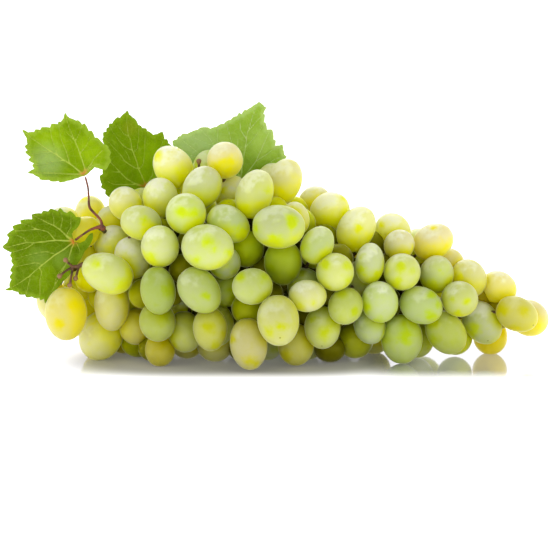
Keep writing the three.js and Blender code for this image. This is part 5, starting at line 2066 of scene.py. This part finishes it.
@dataclass
class Stage:
    """The pale floor, the soft studio light and the camera.

    The floor mirrors what stands on it in a strip, clearly at its sides and less in its middle, and its glow is
    taken away in an oval under the bunch as a painted shadow. Each of the sky's stops is its place from
    straight down to straight up, and how bright it is there.
    """

    floor_size: float = 6.0
    matt: Colour = (0.5, 0.48, 0.44, 1.0)
    gloss: Colour = (0.7, 0.69, 0.72, 1.0)
    gloss_roughness: float = 0.08
    glow: float = 2.7
    glow_share: float = 0.5
    shade_share: float = 0.46
    shade_middle: float = -0.02
    shade_size: Pair = (0.078, 0.042)
    mirror: float = 0.86
    mirror_drop: float = 0.76
    mirror_across: tuple[float, ...] = (-0.15, -0.12, 0.15, 0.12)
    mirror_deep: tuple[float, ...] = (-0.068, -0.03, 0.075, 0.03)
    mirror_middle: tuple[float, ...] = (-0.1, -0.07, 0.06, 0.035)
    mirror_half: Pair = (-0.1, 0.03)
    below: float = 0.7
    stops: Rows = ((0.3, 1.4), (0.46, 0.62), (0.6, 0.62), (0.85, 0.74))
    strength: float = 2.0
    lamps: tuple[Lamp, ...] = (
        Lamp("key", (-0.75, -0.5, 0.95), 0.8, 0.5),
        Lamp("back", (0.0, 0.8, 0.7), 0.7, 4.0),
    )
    sensor: float = 36.0
    seen_across: float = 275.0

    def floor(self) -> None:
        """Lays the floor, smooth enough to mirror what stands on it faintly."""
        Bench.clear()
        bpy.ops.mesh.primitive_plane_add(size=self.floor_size, location=(0.0, 0.0, 0.0))
        floor = Bench.named("floor")
        board = Board("floor_paint")
        across, depth = (board.term("ShaderNodeSeparateXYZ", {}, {0: board.place()}, i) for i in (0, 1))
        side, ahead = (across - self.shade_middle) / self.shade_size[0], depth / self.shade_size[1]
        # Painted shadow: in an oval under the bunch the floor's glow is taken away, so it stands darker there.
        under = (side * side * side * side + ahead * ahead).step(2.2, 0.6)
        matt = board.term("ShaderNodeBsdfDiffuse", {}, {"Color": self.matt})
        glow = board.term("ShaderNodeEmission", {}, {"Color": WHITE, "Strength": self.glow})
        gloss = {"Color": self.gloss, "Roughness": self.gloss_roughness}
        plain = board.layered(self.glow_share - under * self.shade_share, matt, glow)
        clear = self.mirror - across.band(self.mirror_middle) * self.mirror_drop
        near = depth.band(self.mirror_deep) * across.band(self.mirror_across) * clear
        near = near * (across.step(*self.mirror_half) * 0.5 + 0.5)
        paint = board.close(board.layered(near, plain, board.term("ShaderNodeBsdfGlossy", {}, gloss)))
        floor.data.materials.append(paint)
        floor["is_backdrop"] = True

    def world(self) -> None:
        """Surrounds the stage with white, dimmer above the horizon and brighter overhead."""
        world = bpy.data.worlds.new("studio")
        world.use_nodes = True
        nodes, links = world.node_tree.nodes, world.node_tree.links
        kinds = ("ShaderNodeTexCoord", "ShaderNodeSeparateXYZ", "ShaderNodeValToRGB")
        way, split, ramp = (nodes.new(kind) for kind in kinds)
        elements = ramp.color_ramp.elements
        elements.remove(elements[1])
        elements[0].color = (self.below, self.below, self.below, 1.0)
        for place, bright in self.stops:
            level = bright / self.strength
            elements.new(place).color = (level, level, level, 1.0)
        links.new(way.outputs["Generated"], split.inputs[0])
        links.new(split.outputs[2], ramp.inputs[0])
        links.new(ramp.outputs[0], nodes["Background"].inputs[0])
        nodes["Background"].inputs[1].default_value = self.strength
        bpy.context.scene.world = world

    def camera(self) -> None:
        """Sets up the camera on the front elevation."""
        target = Vector((ELEVATION.shift[0], ELEVATION.shift[1], ELEVATION.height)) * MM
        back = Vector((0.0, -math.cos(ELEVATION.above), math.sin(ELEVATION.above))) * ELEVATION.distance * MM
        Bench.clear()
        bpy.ops.object.camera_add(location=target + back, rotation=(math.pi / 2 - ELEVATION.above, 0.0, 0.0))
        camera = bpy.context.object
        camera.data.lens = self.sensor * ELEVATION.distance / self.seen_across
        camera.data.sensor_width = self.sensor
        camera.data.clip_start = 0.01
        bpy.context.scene.camera = camera

    def build(self) -> None:
        """Builds the stage."""
        self.camera()
        self.floor()
        self.world()
        for lamp in self.lamps:
            lamp.hang()
        bpy.context.scene.view_settings.view_transform = "Standard"


def keep_sizes(dressed: object) -> None:
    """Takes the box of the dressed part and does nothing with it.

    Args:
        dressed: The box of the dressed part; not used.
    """

    def plain(box: object) -> list[list[float]]:
        """A box as plain lists."""
        return [[float(value) for value in corner] for corner in box]


def main() -> None:
    """Builds the bunch round its frame and reports each piece."""
    logging.basicConfig(level=logging.INFO, format="%(name)s: %(message)s")
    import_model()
    Stage().build()
    growth = Growth()
    outer, inner = growth.grow([leaf for leaf, _ in LEAVES])
    LOG.info("%d berries outside, %d inside", len(outer), len(inner))
    Bunch(growth).build(outer, inner, BerrySkin().make("berry_skin"))
    stems = Stems()
    stems.build_inside(growth, outer, GREEN_BARK.make("green_bark"))
    stems.build_outside(SHOOT_BARK.make("shoot_bark"), TWIG_BARK.make("twig_bark"))
    for leaf, blade in LEAVES:
        leaf.build(blade.make(f"{leaf.name}_paint"))
    Bench.clear()
    keep_sizes(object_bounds())


if __name__ == "__main__":
    main()
